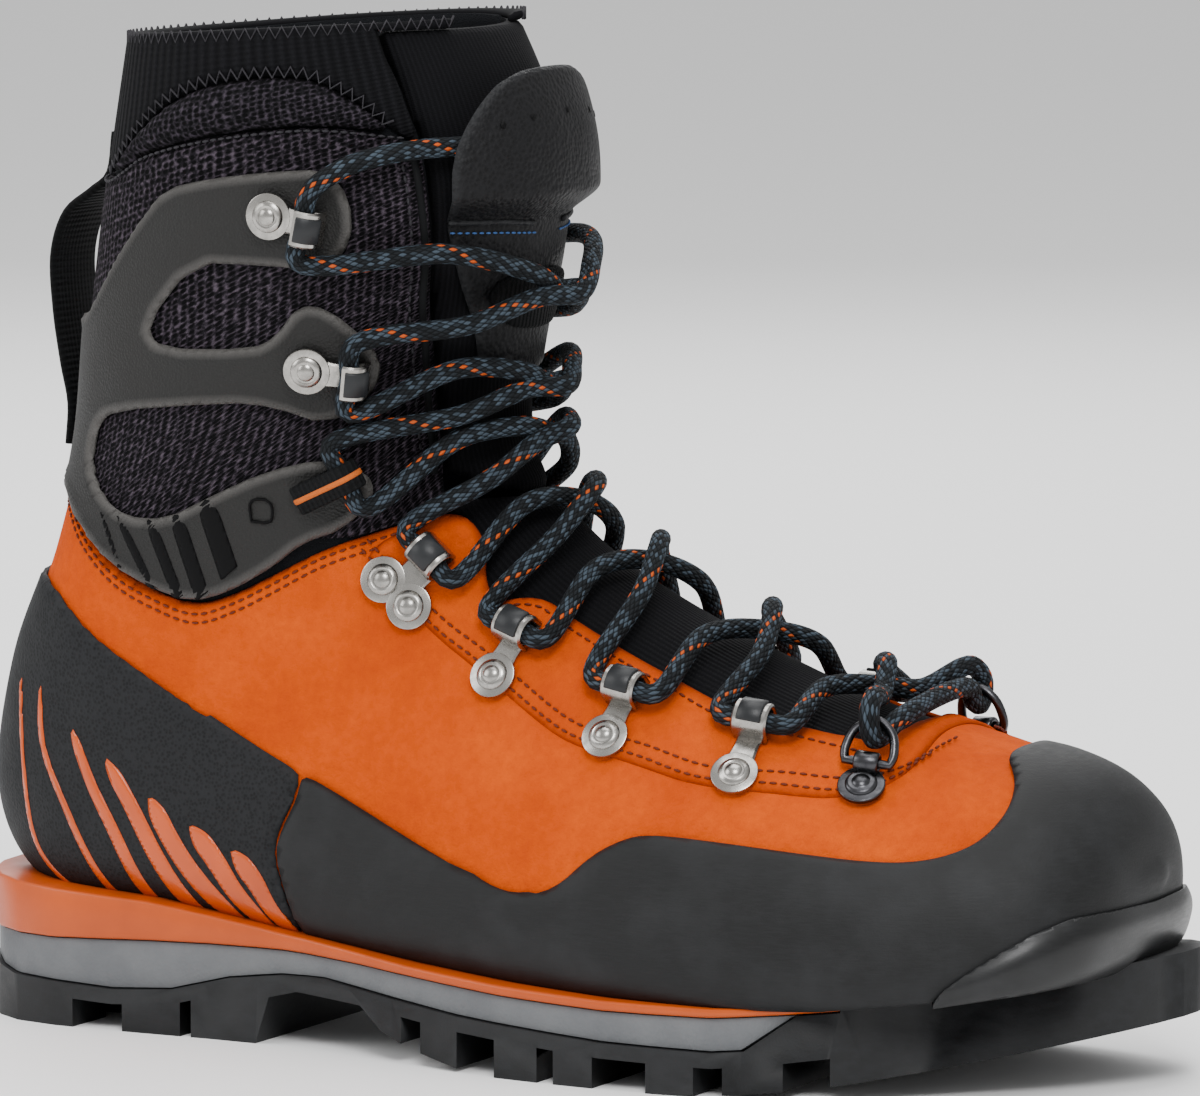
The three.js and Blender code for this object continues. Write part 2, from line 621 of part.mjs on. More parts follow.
const HARDWARE_LIFT = 1.4; // underside of a plate above the leather's surface
const HOOK_LIFT = GAP + RAND_WALL + 1.1; // the same for the hooks, which sit on the ankle frame
const LACE_RADIUS = LACE_DIAMETER / 2;
const laceLift = (lift) => lift + METAL + GUIDE_ROOM / 2 + LACE_RADIUS; // lace centre in a guide
const HOOP_INNER = LACE_RADIUS + GUIDE_ROOM;

function disc(x, radius) {
  const hoop = new THREE.Shape();
  hoop.absarc(x, 0, radius, 0, 2 * Math.PI);
  return hoop;
}

function sheet(shape, base, wall = METAL) {
  const plate = new THREE.ExtrudeGeometry(shape, { depth: wall, bevelEnabled: false, curveSegments: 4 });
  plate.translate(0, 0, base);
  return plate;
}

function rivetDome(x, y, lift) {
  const profile = [
    [0, -METAL * 0.8], [RIVET_RADIUS, -METAL * 0.8], [RIVET_RADIUS, 0.3],
    [RIVET_RADIUS * 0.75, RIVET_HEIGHT * 0.8], [0, RIVET_HEIGHT],
  ];
  const dome = new THREE.LatheGeometry(profile.map(([r, h]) => new THREE.Vector2(r, h)), 8);
  dome.rotateX(Math.PI / 2);
  dome.translate(x, y, lift + METAL);
  return dome;
}

// A strip bent over the lace, drawn as a profile along the plate and across the lift, open below.
function hoopProfile(openBack, lift) {
  const outer = HOOP_INNER + METAL;
  const rise = laceLift(lift);
  const shape = new THREE.Shape();
  const foot = lift;
  shape.moveTo(outer, foot);
  shape.lineTo(outer, rise);
  shape.absarc(0, rise, outer, 0, openBack ? Math.PI * 0.62 : Math.PI, false);
  if (openBack) {
    shape.absarc(0, rise, HOOP_INNER, Math.PI * 0.62, 0, true);
  } else {
    shape.lineTo(-outer, foot);
    shape.lineTo(-HOOP_INNER, foot);
    shape.absarc(0, rise, HOOP_INNER, Math.PI, 0, true);
  }
  shape.lineTo(HOOP_INNER, foot);
  return shape;
}

function hoop(openBack, lift) {
  const strip = new THREE.ExtrudeGeometry(hoopProfile(openBack, lift), {
    depth: GUIDE_WIDTH, bevelEnabled: false, curveSegments: 4,
  });
  strip.translate(0, 0, -GUIDE_WIDTH / 2);
  strip.rotateX(Math.PI / 2);
  return strip;
}

const PAD_LENGTH = 5.6;
const PAD_WIDTH = 6.4;
const PAD_WALL = 1;

// The dark plastic pad on the crown of a guide.
function addInsert(name, frame, reach, plateLift) {
  const pad = new THREE.BoxGeometry(PAD_LENGTH, PAD_WIDTH, PAD_WALL);
  const lift = laceLift(plateLift) + HOOP_INNER + METAL + GAP + PAD_WALL / 2;
  addPiece(name, standOn(pad, frame, reach, lift), INSERT);
}

// A plate with a riveted round end and a neck that carries the guide.
function guidePlate(frame, rivets, reach, lift) {
  const length = reach + HOOP_INNER + METAL;
  const neck = new THREE.BoxGeometry(length, GUIDE_WIDTH * 0.8, METAL);
  neck.translate(length / 2, 0, lift + METAL / 2);
  const rounds = rivets.map(([x, y]) => solid(sheet(disc(0, PLATE_RADIUS), lift)).translate(x, y, 0));
  const flat = geometryOf(join([solid(neck), ...rounds]));
  return join([layOn(flat, frame), ...rivets.map(([x, y]) => layOn(rivetDome(x, y, lift), frame))]);
}

const SIDES = [["outer", -1], ["inner", 1]];
const LOOPS = [
  { name: "loop_toe", rivet: [176, 72], lace: [176, 81.5] },
  { name: "loop_middle", rivet: [143, 79], lace: [145, 88.5] },
  { name: "loop_upper", rivet: [111, 91], lace: [115, 101] },
];
const LOCK = { name: "lock_guide", rivet: [83.5, 109], lace: [91, 117.5] };
const LOCK_RIVETS = 4.6; // each rivet's distance from the plate's centre line
const HOOKS = [
  { name: "hook_lower", rivet: [65, 163], lace: [74.5, 162] },
  { name: "hook_upper", rivet: [59, 199], lace: [68.5, 197] },
];
const WEB_LOOP = { name: "web_loop", rivet: [60, 131], lace: [72, 137.5] };
const RING = { name: "ring", rivet: [205, 70], lace: [203, 78.5] };
const PLATE_RADIUS = 5.6;
const RING_TILT = THREE.MathUtils.degToRad(25);
const RING_LENGTH = 10.5; // from the bar's centre line to the bow's
const RING_HALF_WIDTH = 5.8;
const RING_BAR = 5.6; // from the rivet to the bar
const WIRE_RADIUS = RING_WIRE / 2;
const SLEEVE_INNER = WIRE_RADIUS + GAP;
const RING_LIFT = HARDWARE_LIFT + METAL + SLEEVE_INNER;
const BEND_INNER = LACE_RADIUS + GAP;
const WEB_LIFT = 2 * GAP + RAND_WALL + BEND_INNER + WEBBING;

const seats = {};
const frameSlots = [];

for (const [sideName, side] of SIDES) {
  for (const spot of [...LOOPS, LOCK, ...HOOKS]) {
    const { name, rivet, lace } = spot;
    const place = seat(rivet, lace, side);
    seats[name + sideName] = place;
    const rivets = spot === LOCK ? [[0, -LOCK_RIVETS], [0, LOCK_RIVETS]] : [[0, 0]];
    const lift = HOOKS.includes(spot) ? HOOK_LIFT : HARDWARE_LIFT;
    const plate = guidePlate(place, rivets, place.reach, lift);
    const bow = standOn(hoop(HOOKS.includes(spot), lift), place, place.reach, 0);
    addPiece(`${name}_${sideName}`, plate.add(bow), STEEL);
    addInsert(`${name}_pad_${sideName}`, place, place.reach, lift);
  }
  addRing(sideName, side);
  addWebLoop(sideName, side);
}

// A riveted clip with a rolled sleeve, and the D-shaped ring that swings in it.
function addRing(sideName, side) {
  const place = seat(RING.rivet, RING.lace, side);
  seats[RING.name + sideName] = place;
  const rolled = disc(0, SLEEVE_INNER + METAL);
  rolled.holes.push(disc(0, SLEEVE_INNER));
  const sleeve = new THREE.ExtrudeGeometry(rolled, {
    depth: RING_HALF_WIDTH, bevelEnabled: false, curveSegments: 4,
  });
  sleeve.translate(0, RING_LIFT, -RING_HALF_WIDTH / 2);
  sleeve.rotateX(Math.PI / 2);
  addPiece(
    `ring_clip_${sideName}`,
    guidePlate(place, [[0, 0]], RING_BAR - HOOP_INNER - METAL, HARDWARE_LIFT)
      .add(standOn(sleeve, place, RING_BAR, 0)),
    DARK_STEEL,
  );
  const w = RING_HALF_WIDTH;
  const bow = [
    [0, w - 0.4], [3, w], [7.6, w * 0.76], [RING_LENGTH, 0], [7.6, -w * 0.76], [3, -w], [0, 0.4 - w],
  ];
  const section = disc(0, WIRE_RADIUS);
  const path = new THREE.CatmullRomCurve3(bow.map(([x, y]) => new THREE.Vector3(x, y, 0)));
  const wire = new THREE.ExtrudeGeometry(section, { extrudePath: path, steps: 10, curveSegments: 4 });
  const bar = new THREE.CylinderGeometry(WIRE_RADIUS, WIRE_RADIUS, 2 * w, 8);
  for (const form of [wire, bar]) {
    form.rotateY(-RING_TILT);
    form.translate(0, 0, RING_LIFT);
  }
  const ring = standOn(wire, place, RING_BAR, 0).add(standOn(bar, place, RING_BAR, 0));
  addPiece(`ring_${sideName}`, ring, DARK_STEEL);
}

// A loop of webbing that comes out of a slot in the ankle frame and holds the lace back.
function addWebLoop(sideName, side) {
  const place = seat(WEB_LOOP.rivet, WEB_LOOP.lace, side);
  seats[WEB_LOOP.name + sideName] = place;
  const slot = new THREE.BoxGeometry(10, WEBBING_WIDTH + 4 * GAP, 12);
  frameSlots.push(standOn(slot, place, 2, 0));
  const reach = place.reach;
  const near = reach - 0.8 * BEND_INNER;
  const tail = shapeOf([
    [-WEBBING, 0.6], [WEBBING, 0.6], [WEBBING, 3.4], [near, WEB_LIFT - WEBBING], [near, WEB_LIFT + WEBBING],
    [-WEBBING / 2, 3.4 + 2 * WEBBING], [-WEBBING, 3.4],
  ]);
  const bend = disc(reach, BEND_INNER + WEBBING);
  bend.holes.push(disc(reach, BEND_INNER));
  const strips = [tail, bend].map((shape, i) => {
    const strip = new THREE.ExtrudeGeometry(shape, {
      depth: WEBBING_WIDTH, bevelEnabled: false, curveSegments: 4,
    });
    strip.translate(0, i * WEB_LIFT, -WEBBING_WIDTH / 2);
    strip.rotateX(Math.PI / 2);
    return standOn(strip, place, 0, 0);
  });
  const eye = new THREE.CylinderGeometry(BEND_INNER, BEND_INNER, WEBBING_WIDTH + 2, 12);
  eye.translate(reach, 0, WEB_LIFT);
  addPiece(`web_loop_${sideName}`, join(strips).subtract(standOn(eye, place, 0, 0)), WEB);
}

// The ankle frame wraps round the back with three arms on each side and two windows between them.
const FRAME_EDGE = [[-70, 170], [-2, 170], [5, 176], [13, 186], [22, 196], [30, 204], [43, 207], [58, 209],
  [72, 210], [77, 203], [77, 193], [71, 186], [56, 187], [38, 187], [23, 171], [27, 166], [52, 167],
  [58, 170], [64, 178], [71, 177], [79, 169], [80, 162], [76, 155], [67, 149], [56, 153.5], [45, 154],
  [11, 150], [5, 145], [3, 136],
  [8, 129], [15, 125], [26, 125], [38, 131], [52, 137.5], [66, 141], [75, 138], [77, 132], [70, 124],
  [60, 120.5], [53, 114.6]];
const frameUnder = shift(SUEDE_TOP.filter(([x]) => x < 50), 0, 1.2).toReversed();
addPiece(
  "ankle_frame",
  skin(GAP, GAP + RAND_WALL).intersect(sideCut([...FRAME_EDGE, ...frameUnder])).subtract(join(frameSlots)),
  FRAME_TPU,
);

// ---------------------------------------------------------------- the lace

// One lace runs from the knot behind the tongue's shield down one side, across the toe and up the other,
// crossing over at each level. A station is [t, u, offset]: a place on the last and a height above it.
const LOW = LACE_RADIUS + 0.6; // lace centre over the leather and the tongue
const HIGH_OVER = LOW + LACE_DIAMETER + 0.6; // where it crosses over another run
const TONGUE_CLEAR = 1.8; // more over the label

const LEVELS = [RING, ...LOOPS, LOCK, WEB_LOOP, ...HOOKS];
const CROSS_X = [191, 161, 131, 113]; // ridge crossings above each level, in side view
const CROSS_Z = [145, 158, 181]; // the same on the shaft

const ridgeT = (fits) => {
  let low = 0;
  let high = 1;
  for (let i = 0; i < 30; i += 1) {
    const t = (low + high) / 2;
    if (fits(lastPoint(t, 0.5))) low = t;
    else high = t;
  }
  return low;
};
const crossings = [
  ...CROSS_X.map((x) => ridgeT((p) => p.x > gradeX(x))),
  ...CROSS_Z.map((z) => ridgeT((p) => p.z < gradeZ(z))),
];
const sideName = (side) => (side < 0 ? "outer" : "inner");
const onLast = ([t, u, offset]) => lastPoint(t, u).addScaledVector(lastNormal(t, u), offset);

// The lace's points through one guide, from its toe end to its top end.
function throughGuide(spot, side) {
  const place = seats[spot.name + sideName(side)];
  const onward = place.second.clone().multiplyScalar(-side);
  const at = (a, s, c) => place.place(a, 0, 0).addScaledVector(onward, s).addScaledVector(place.out, c);
  if (spot === RING) {
    const b = RING_BAR;
    const turn = [
      [b + 15, 3, LOW], [b + 10, 1.5, LOW + 0.4], [b + 5.4, 0, RING_LIFT + LACE_RADIUS],
      [b + 7.5, -1, RING_LIFT + 8], [b + 13, -1.5, RING_LIFT + 7.6],
    ];
    return turn.map(([a, s, c]) => at(0, 0, c).addScaledVector(place.first, a).addScaledVector(onward, -s));
  }
  const half = GUIDE_WIDTH / 2;
  const clear = LACE_RADIUS + 1.5; // past a guide, before the lace turns
  const stops = [-half - clear, 0, half + clear];
  if (spot === WEB_LOOP) {
    return stops.map((s) => at(0, s, WEB_LIFT).addScaledVector(place.first, place.reach));
  }
  return stops.map((s) => at(place.reach, s, laceLift(HOOKS.includes(spot) ? HOOK_LIFT : HARDWARE_LIFT)));
}

// The run from a level's guide on one side up to the next level's guide on the other side.
function crossOver(level, side, over) {
  const from = seatOn(...LEVELS[level].lace, side);
  const to = seatOn(...LEVELS[level + 1].lace, -side);
  const t = crossings[level];
  const high = level > 3 ? TONGUE_CLEAR : 0;
  const middle = [t, 0.5, (over ? HIGH_OVER : LOW) + high];
  const mix = (a, b, f) => a + (b - a) * f;
  const between = (s, f) => onLast([mix(s.t, t, f), mix(s.u, 0.5, f), LOW + high + (over ? 2.4 : 1)]);
  if (!high) return [between(from, 0.55), onLast(middle), between(to, 0.55)];
  return [between(from, 0.45), between(from, 0.8), onLast(middle), between(to, 0.8), between(to, 0.45)];
}

function strand(startSide) {
  const points = [];
  let side = startSide;
  LEVELS.forEach((spot, level) => {
    points.push(...throughGuide(spot, side));
    if (level === LEVELS.length - 1) return;
    points.push(...crossOver(level, side, (level % 2 === 0) === (startSide < 0)));
    side = -side;
  });
  const tuck = [[77, 211, 6], [85, 213.5, 4.6], [91.5, 214.5, 2.9]].map(([x, z, offset]) => {
    const { t, u } = seatOn(x, z, side);
    return onLast([t, u, offset]);
  });
  const knot = seatOn(99, 215, side);
  const last = [knot.t, 0.5 + (side < 0 ? -1 : 1) * 0.018, 2];
  return [...points, ...tuck, onLast([knot.t, knot.u, 2]), onLast(last)];
}

const route = [...strand(-1).toReversed(), ...strand(1)];

// A smooth curve that is stepped at its own points, so that each straight run stays straight.
class Stepped extends THREE.CatmullRomCurve3 {
  getPointAt(u, target) {
    return this.getPoint(u, target);
  }

  getTangentAt(u, target) {
    return this.getTangent(u, target);
  }
}
const laceTube = new THREE.ExtrudeGeometry(disc(0, LACE_RADIUS), {
  extrudePath: new Stepped(route, false, "centripetal"), steps: route.length - 1, curveSegments: 4,
});
addPiece("lace", solid(laceTube), LACE);

export default boot;
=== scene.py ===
"""A right mountaineering boot: its looks, built in layers as the real one is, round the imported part."""

import json
import logging
import math
from collections.abc import Callable, Sequence
from dataclasses import dataclass
from enum import Enum

import bmesh
import bpy
import numpy as np
from mathutils import Matrix, Vector

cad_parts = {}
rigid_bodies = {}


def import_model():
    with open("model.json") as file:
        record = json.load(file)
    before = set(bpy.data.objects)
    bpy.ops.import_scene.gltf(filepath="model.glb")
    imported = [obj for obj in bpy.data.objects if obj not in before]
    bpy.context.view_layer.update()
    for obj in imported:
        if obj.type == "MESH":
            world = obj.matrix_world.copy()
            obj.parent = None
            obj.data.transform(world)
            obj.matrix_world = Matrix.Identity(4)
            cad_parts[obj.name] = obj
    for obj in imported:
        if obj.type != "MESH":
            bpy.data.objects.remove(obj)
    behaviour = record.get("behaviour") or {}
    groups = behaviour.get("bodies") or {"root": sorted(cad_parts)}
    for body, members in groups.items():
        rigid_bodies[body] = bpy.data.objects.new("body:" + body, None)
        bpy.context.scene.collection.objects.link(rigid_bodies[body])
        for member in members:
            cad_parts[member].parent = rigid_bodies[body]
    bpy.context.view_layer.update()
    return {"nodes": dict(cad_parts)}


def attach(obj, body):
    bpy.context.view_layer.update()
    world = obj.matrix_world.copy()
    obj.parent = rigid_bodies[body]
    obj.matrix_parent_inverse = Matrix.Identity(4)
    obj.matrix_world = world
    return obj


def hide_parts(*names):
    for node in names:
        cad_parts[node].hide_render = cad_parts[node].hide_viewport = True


for leftover in list(bpy.data.objects):
    bpy.data.objects.remove(leftover)
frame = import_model()

LOG = logging.getLogger("boot")
MM = 0.001
GAP = 0.35
SHELL_WALL = 1.4
LINING_WALL = 3.2
RAND_WALL = 2.1
PATCH_WALL = 1.5
BUMPER_WALL = 2.4
LINING_OUT = -SHELL_WALL - GAP
LINING_IN = LINING_OUT - LINING_WALL
LACE_RADIUS = 2.4
METAL = 1.2
GUIDE_ROOM = 0.6
GUIDE_WIDTH = 8.6
HARDWARE_LIFT = 1.4
HOOK_LIFT = GAP + RAND_WALL + 1.1
HOOP_INNER = LACE_RADIUS + GUIDE_ROOM
RING_BAR = 5.6
RING_LIFT = 4.05
WEB_LIFT = 6.65

Pair = tuple[float, float]
Line = Sequence[Pair]


class Side(Enum):
    """The two sides of the foot, by the sign of Y."""

    OUTER = -1
    INNER = 1


def shifted(line: Line, dx: float, dz: float) -> list[Pair]:
    """Moves a side-view line.

    Args:
        line: Places as (x, z) in millimetres.
        dx: Shift towards the toe.
        dz: Shift upwards.

    Returns:
        The moved line.
    """
    return [(x + dx, z + dz) for x, z in line]


# ---------------------------------------------------------------- the last and its surface


@dataclass(frozen=True)
class Last:
    """The foot form that every layer of the upper is laid on."""

    rows: tuple[tuple[float, ...], ...] = (
        (260, 52, 260, 45, 3, 13, 8, 0.5, 2, 2),
        (257.5, 60, 258.5, 36, 18, 25, 8, 0.42, 2.1, 2.6),
        (252.5, 67, 254, 28, 29, 34, 8, 0.36, 2.1, 3),
        (242, 73, 244, 22.5, 39, 40, 8, 0.32, 2.1, 3.5),
        (220, 78.5, 222, 18.5, 49.5, 46, 8, 0.3, 2.1, 4),
        (190, 87, 192, 17, 54.5, 47, 6, 0.28, 2, 4),
        (163, 97.5, 160, 17, 54.5, 44, 5, 0.28, 2, 4),
        (140, 108.5, 126, 18.5, 51, 40, 4, 0.28, 2, 4),
        (122, 119.5, 90, 21.5, 45, 36, 3, 0.29, 2, 4),
        (111, 130.5, 52, 25.5, 39, 34, 1, 0.33, 2.05, 4),
        (104, 141, 14, 29.5, 37, 35, 0, 0.37, 2.1, 3.8),
        (102, 153, -20, 31, 36.5, 36, 0, 0.43, 2.15, 3),
        (103, 165, -37, 50, 37.5, 38, 0, 0.47, 2.2, 2.3),
        (105, 177, -33.5, 82, 39, 40, 0, 0.48, 2.2, 2.2),
        (107, 189, -22, 110, 42, 43, 0, 0.5, 2.2, 2.2),
        (108, 202, -14, 138, 44, 45, 0, 0.5, 2.2, 2.2),
        (107, 216, -10, 168, 46, 46, 0, 0.5, 2.2, 2.2),
        (102, 230, -5, 200, 47, 47, 0, 0.5, 2.2, 2.2),
        (94, 244, 2, 238, 47, 47, 0, 0.5, 2.2, 2.2),
    )
    cap: float = 0.03  # the toe's closing dome, as a share of t before its first section

    def section(self, t: np.ndarray) -> np.ndarray:
        """The section values at each t, on a smooth curve through the rows.

        Args:
            t: Places along the last, from 0 at the toe tip to 1 at the rim.

        Returns:
            One row of ten values for each t.
        """
        table = np.array(self.rows, float)
        spans = len(table) - 1
        at = np.clip(t, 0, None) * spans
        i = np.clip(np.floor(at).astype(int), 0, spans - 1)
        f = (at - i)[:, None]
        padded = np.vstack([2 * table[0] - table[1], table, 2 * table[-1] - table[-2]])
        a, b, c, d = (padded[i + k] for k in range(4))
        return b + 0.5 * f * (c - a + f * (2 * a - 5 * b + 4 * c - d + f * (3 * (b - c) + d - a)))

    def point(self, t: np.ndarray, u: np.ndarray) -> np.ndarray:
        """Surface points in millimetres.

        Args:
            t: Places along the last.
            u: Places round it: 0 base, 0.25 outer side, 0.5 ridge, 0.75 inner side.

        Returns:
            The points, one row each.
        """
        t, u = np.broadcast_arrays(np.asarray(t, float), np.asarray(u, float))
        s = self.section(t)
        rx, rz, bx, bz, outer, inner, lean, waist, crown, tread = s.T
        angle = np.pi * (2 * u - 0.5)
        sin, cos = np.sin(angle), np.cos(angle)
        power = np.where(sin >= 0, crown, tread)
        rise = np.abs(sin) ** (2 / power)
        reach = np.abs(cos) ** (2 / power)
        v = np.where(sin >= 0, waist + (1 - waist) * rise, waist - waist * rise)
        base_y = (inner - outer) / 2
        middle = base_y + (lean - base_y) * v
        waist_y = base_y + (lean - base_y) * waist
        y = np.where(cos >= 0, middle - (outer + waist_y) * reach, middle + (inner - waist_y) * reach)
        made = np.stack([bx + (rx - bx) * v, y, bz + (rz - bz) * v], -1)
        inside = t < 0
        if inside.any():
            keep = np.clip(1 + t / self.cap, 0, 1)[:, None]
            heart = np.array([260.0, 8.0, 48.5])
            domed = heart + (made - heart) * keep + np.array([1.0, 0, 0]) * 0.9 * (1 - keep**2)
            made = np.where(inside[:, None], domed, made)
        return made

    def normal(self, t: np.ndarray, u: np.ndarray) -> np.ndarray:
        """Outward unit normals of the surface.

        Args:
            t: Places along the last.
            u: Places round it.

        Returns:
            The normals, one row each.
        """
        t, u = np.broadcast_arrays(np.asarray(t, float), np.asarray(u, float))
        base = np.clip(t, 0, None)
        step = 0.002
        along = self.point(base + step, u) - self.point(np.clip(base - step, 0, None), u)
        around = self.point(base, u + step) - self.point(base, u - step)
        n = np.cross(around, along)
        n /= np.linalg.norm(n, axis=1)[:, None] + 1e-12
        keep = np.clip(1 + t / self.cap, 0, 1)[:, None]
        n = n * keep + np.array([1.0, 0, 0]) * (1 - keep)
        return n / (np.linalg.norm(n, axis=1)[:, None] + 1e-12)

    def seat(self, x: np.ndarray, z: np.ndarray, side: Side) -> tuple[np.ndarray, np.ndarray]:
        """Finds the surface places of one side that lie at x, z in side view.

        Args:
            x: Side-view places towards the toe, in millimetres.
            z: Heights in millimetres.
            side: Which side of the boot.

        Returns:
            The t and u of each place.
        """
        x, z = np.atleast_1d(np.asarray(x, float)), np.atleast_1d(np.asarray(z, float))
        ts, us = np.meshgrid(np.linspace(0, 1, 91), np.linspace(0.011, 0.489, 44), indexing="ij")
        ts, us = ts.ravel(), us.ravel()
        if side is Side.INNER:
            us = 1 - us
        grid = self.point(ts, us)
        gaps = (grid[:, 0][None] - x[:, None]) ** 2 + (grid[:, 2][None] - z[:, None]) ** 2
        best = np.argmin(gaps, axis=1)
        t, u = ts[best].copy(), us[best].copy()
        step = 1e-4
        for _ in range(12):
            p, pt, pu = self.point(t, u), self.point(t + step, u), self.point(t, u + step)
            a, b = p[:, 0] - x, p[:, 2] - z
            at, bt = (pt[:, 0] - p[:, 0]) / step, (pt[:, 2] - p[:, 2]) / step
            au, bu = (pu[:, 0] - p[:, 0]) / step, (pu[:, 2] - p[:, 2]) / step
            det = at * bu - au * bt
            det = np.where(np.abs(det) < 1e-6, 1e-6, det)
            t = np.clip(t - np.clip((a * bu - b * au) / det, -0.03, 0.03), 0, 1.02)
            u = u - np.clip((b * at - a * bt) / det, -0.03, 0.03)
            low, high = (0.001, 0.4999) if side is Side.OUTER else (0.5001, 0.999)
            u = np.clip(u, low, high)
        return t, u


LAST = Last()


def raised(t: np.ndarray, u: np.ndarray, offset: float | np.ndarray) -> np.ndarray:
    """Points at an offset in millimetres above the last's surface."""
    return LAST.point(t, u) + LAST.normal(t, u) * np.reshape(offset, (-1, 1))


@dataclass(frozen=True)
class Seat:
    """A local frame on the surface for a piece of hardware.

    Its first axis points from one side-view place to another and its third points out of the boot.
    """

    start: Pair
    end: Pair
    side: Side

    def frame(self) -> tuple[np.ndarray, np.ndarray, np.ndarray, np.ndarray, float]:
        """Works out the local axes.

        Returns:
            The origin, the three axes, and the distance between the two places in millimetres.
        """
        t, u = LAST.seat([self.start[0], self.end[0]], [self.start[1], self.end[1]], self.side)
        ends = LAST.point(t, u)
        out = LAST.normal(t[:1], u[:1])[0]
        first = ends[1] - ends[0]
        reach = float(np.linalg.norm(first))
        first = first - out * first.dot(out)
        first /= np.linalg.norm(first)
        return ends[0], first, np.cross(out, first), out, reach

    def lay(self, local: np.ndarray) -> np.ndarray:
        """Lays local points on the curved surface.

        Args:
            local: Rows of (along, across, above), in millimetres.

        Returns:
            The points in the boot's frame, in millimetres.
        """
        origin, first, second, _, _ = self.frame()
        t, u = LAST.seat([self.start[0]], [self.start[1]], self.side)
        t, u = np.full(len(local), t[0]), np.full(len(local), u[0])
        step = 1e-4
        for _ in range(10):
            p = LAST.point(t, u) - origin
            pt = LAST.point(t + step, u) - origin
            pu = LAST.point(t, u + step) - origin
            a, b = p @ first - local[:, 0], p @ second - local[:, 1]
            at, bt = (pt - p) @ first / step, (pt - p) @ second / step
            au, bu = (pu - p) @ first / step, (pu - p) @ second / step
            det = at * bu - au * bt
            t = t - (a * bu - b * au) / det
            u = u - (b * at - a * bt) / det
        return raised(t, u, local[:, 2])

    def stand(self, local: np.ndarray, at: float) -> np.ndarray:
        """Stands local points on the tangent plane at a place along the first axis.

        Args:
            local: Rows of (along, across, above) from that place, in millimetres.
            at: How far along the first axis the place is.

        Returns:
            The points in the boot's frame, in millimetres.
        """
        _, first, second, out, _ = self.frame()
        base = self.lay(np.array([[at, 0.0, 0.0]]))[0]
        return base + local @ np.stack([first, second, out])


# ---------------------------------------------------------------- outlines, in side view


def rounded(points: Line, times: int = 2) -> np.ndarray:
    """Cuts the corners of a closed outline so that it reads as a smooth curve.

    Args:
        points: The outline's corners.
        times: How often the corners are cut.

    Returns:
        The smoother outline.
    """
    line = np.array(points, float)
    for _ in range(times):
        after = np.roll(line, -1, axis=0)
        line = np.stack([0.75 * line + 0.25 * after, 0.25 * line + 0.75 * after], 1).reshape(-1, 2)
    return line


def inside_depth(places: np.ndarray, outline: np.ndarray) -> np.ndarray:
    """Distance to an outline, positive inside it.

    Args:
        places: Rows of (x, z).
        outline: A closed polygon.

    Returns:
        One signed distance for each place, in millimetres.
    """
    a, b = outline, np.roll(outline, -1, axis=0)
    best = np.full(len(places), np.inf)
    crossed = np.zeros(len(places), bool)
    for p, q in zip(a, b):
        d = q - p
        length = d @ d
        if length < 1e-12:
            continue
        rel = places - p
        f = np.clip(rel @ d / length, 0, 1)
        best = np.minimum(best, np.sum((rel - f[:, None] * d) ** 2, axis=1))
        between = (p[1] > places[:, 1]) != (q[1] > places[:, 1])
        if abs(d[1]) > 1e-12:
            crossed ^= between & (places[:, 0] < p[0] + d[0] * (places[:, 1] - p[1]) / d[1])
    return np.where(crossed, 1, -1) * np.sqrt(best)


def smooth_path(points: Sequence[Sequence[float]], step: float) -> np.ndarray:
    """A smooth curve through points, with even steps.

    Args:
        points: The places it goes through, in two or three dimensions.
        step: The distance between its samples, in millimetres.

    Returns:
        The samples.
    """
    p = np.array(points, float)
    ends = np.vstack([2 * p[0] - p[1], p, 2 * p[-1] - p[-2]])
    dense = []
    for i in range(len(p) - 1):
        a, b, c, d = ends[i : i + 4]
        f = np.linspace(0, 1, 24, endpoint=False)[:, None]
        dense.append(b + 0.5 * f * (c - a + f * (2 * a - 5 * b + 4 * c - d + f * (3 * (b - c) + d - a))))
    dense = np.vstack([*dense, p[-1:]])
    return even_steps(dense, step)


def even_steps(path: np.ndarray, step: float) -> np.ndarray:
    """Samples a dense path at even steps.

    Args:
        path: Rows of values, of which the first three are a place.
        step: About how far apart the samples are.

    Returns:
        The samples.
    """
    run = np.concatenate([[0], np.cumsum(np.linalg.norm(np.diff(path, axis=0), axis=1))])
    count = max(2, int(round(run[-1] / step)) + 1)
    at = np.linspace(0, run[-1], count)
    return np.stack([np.interp(at, run, path[:, k]) for k in range(path.shape[1])], 1)


# ---------------------------------------------------------------- making meshes


def finish_mesh(bm: bmesh.types.BMesh, name: str, smooth: bool = True) -> bpy.types.Object:
    """Turns a bmesh in millimetres into an object in metres, and links it.

    Args:
        bm: The mesh, which is freed.
        name: The piece's name.
        smooth: Whether its faces are shaded smooth.

    Returns:
        The new object, at the origin.
    """
    bmesh.ops.scale(bm, vec=(MM, MM, MM), verts=bm.verts[:])
    for face in bm.faces:
        face.smooth = smooth
    mesh = bpy.data.meshes.new(name)
    bm.to_mesh(mesh)
    bm.free()
    made = bpy.data.objects.new(name, mesh)
    bpy.context.scene.collection.objects.link(made)
    return made


def add_wall(piece: bpy.types.Object, wall: float) -> None:
    """Gives a surface its thickness in millimetres, inwards."""
    grown = piece.modifiers.new("wall", "SOLIDIFY")
    grown.thickness = wall * MM
    grown.offset = -1


Field = Callable[[np.ndarray, np.ndarray], np.ndarray]
Profile = Callable[[np.ndarray, np.ndarray, np.ndarray], np.ndarray]

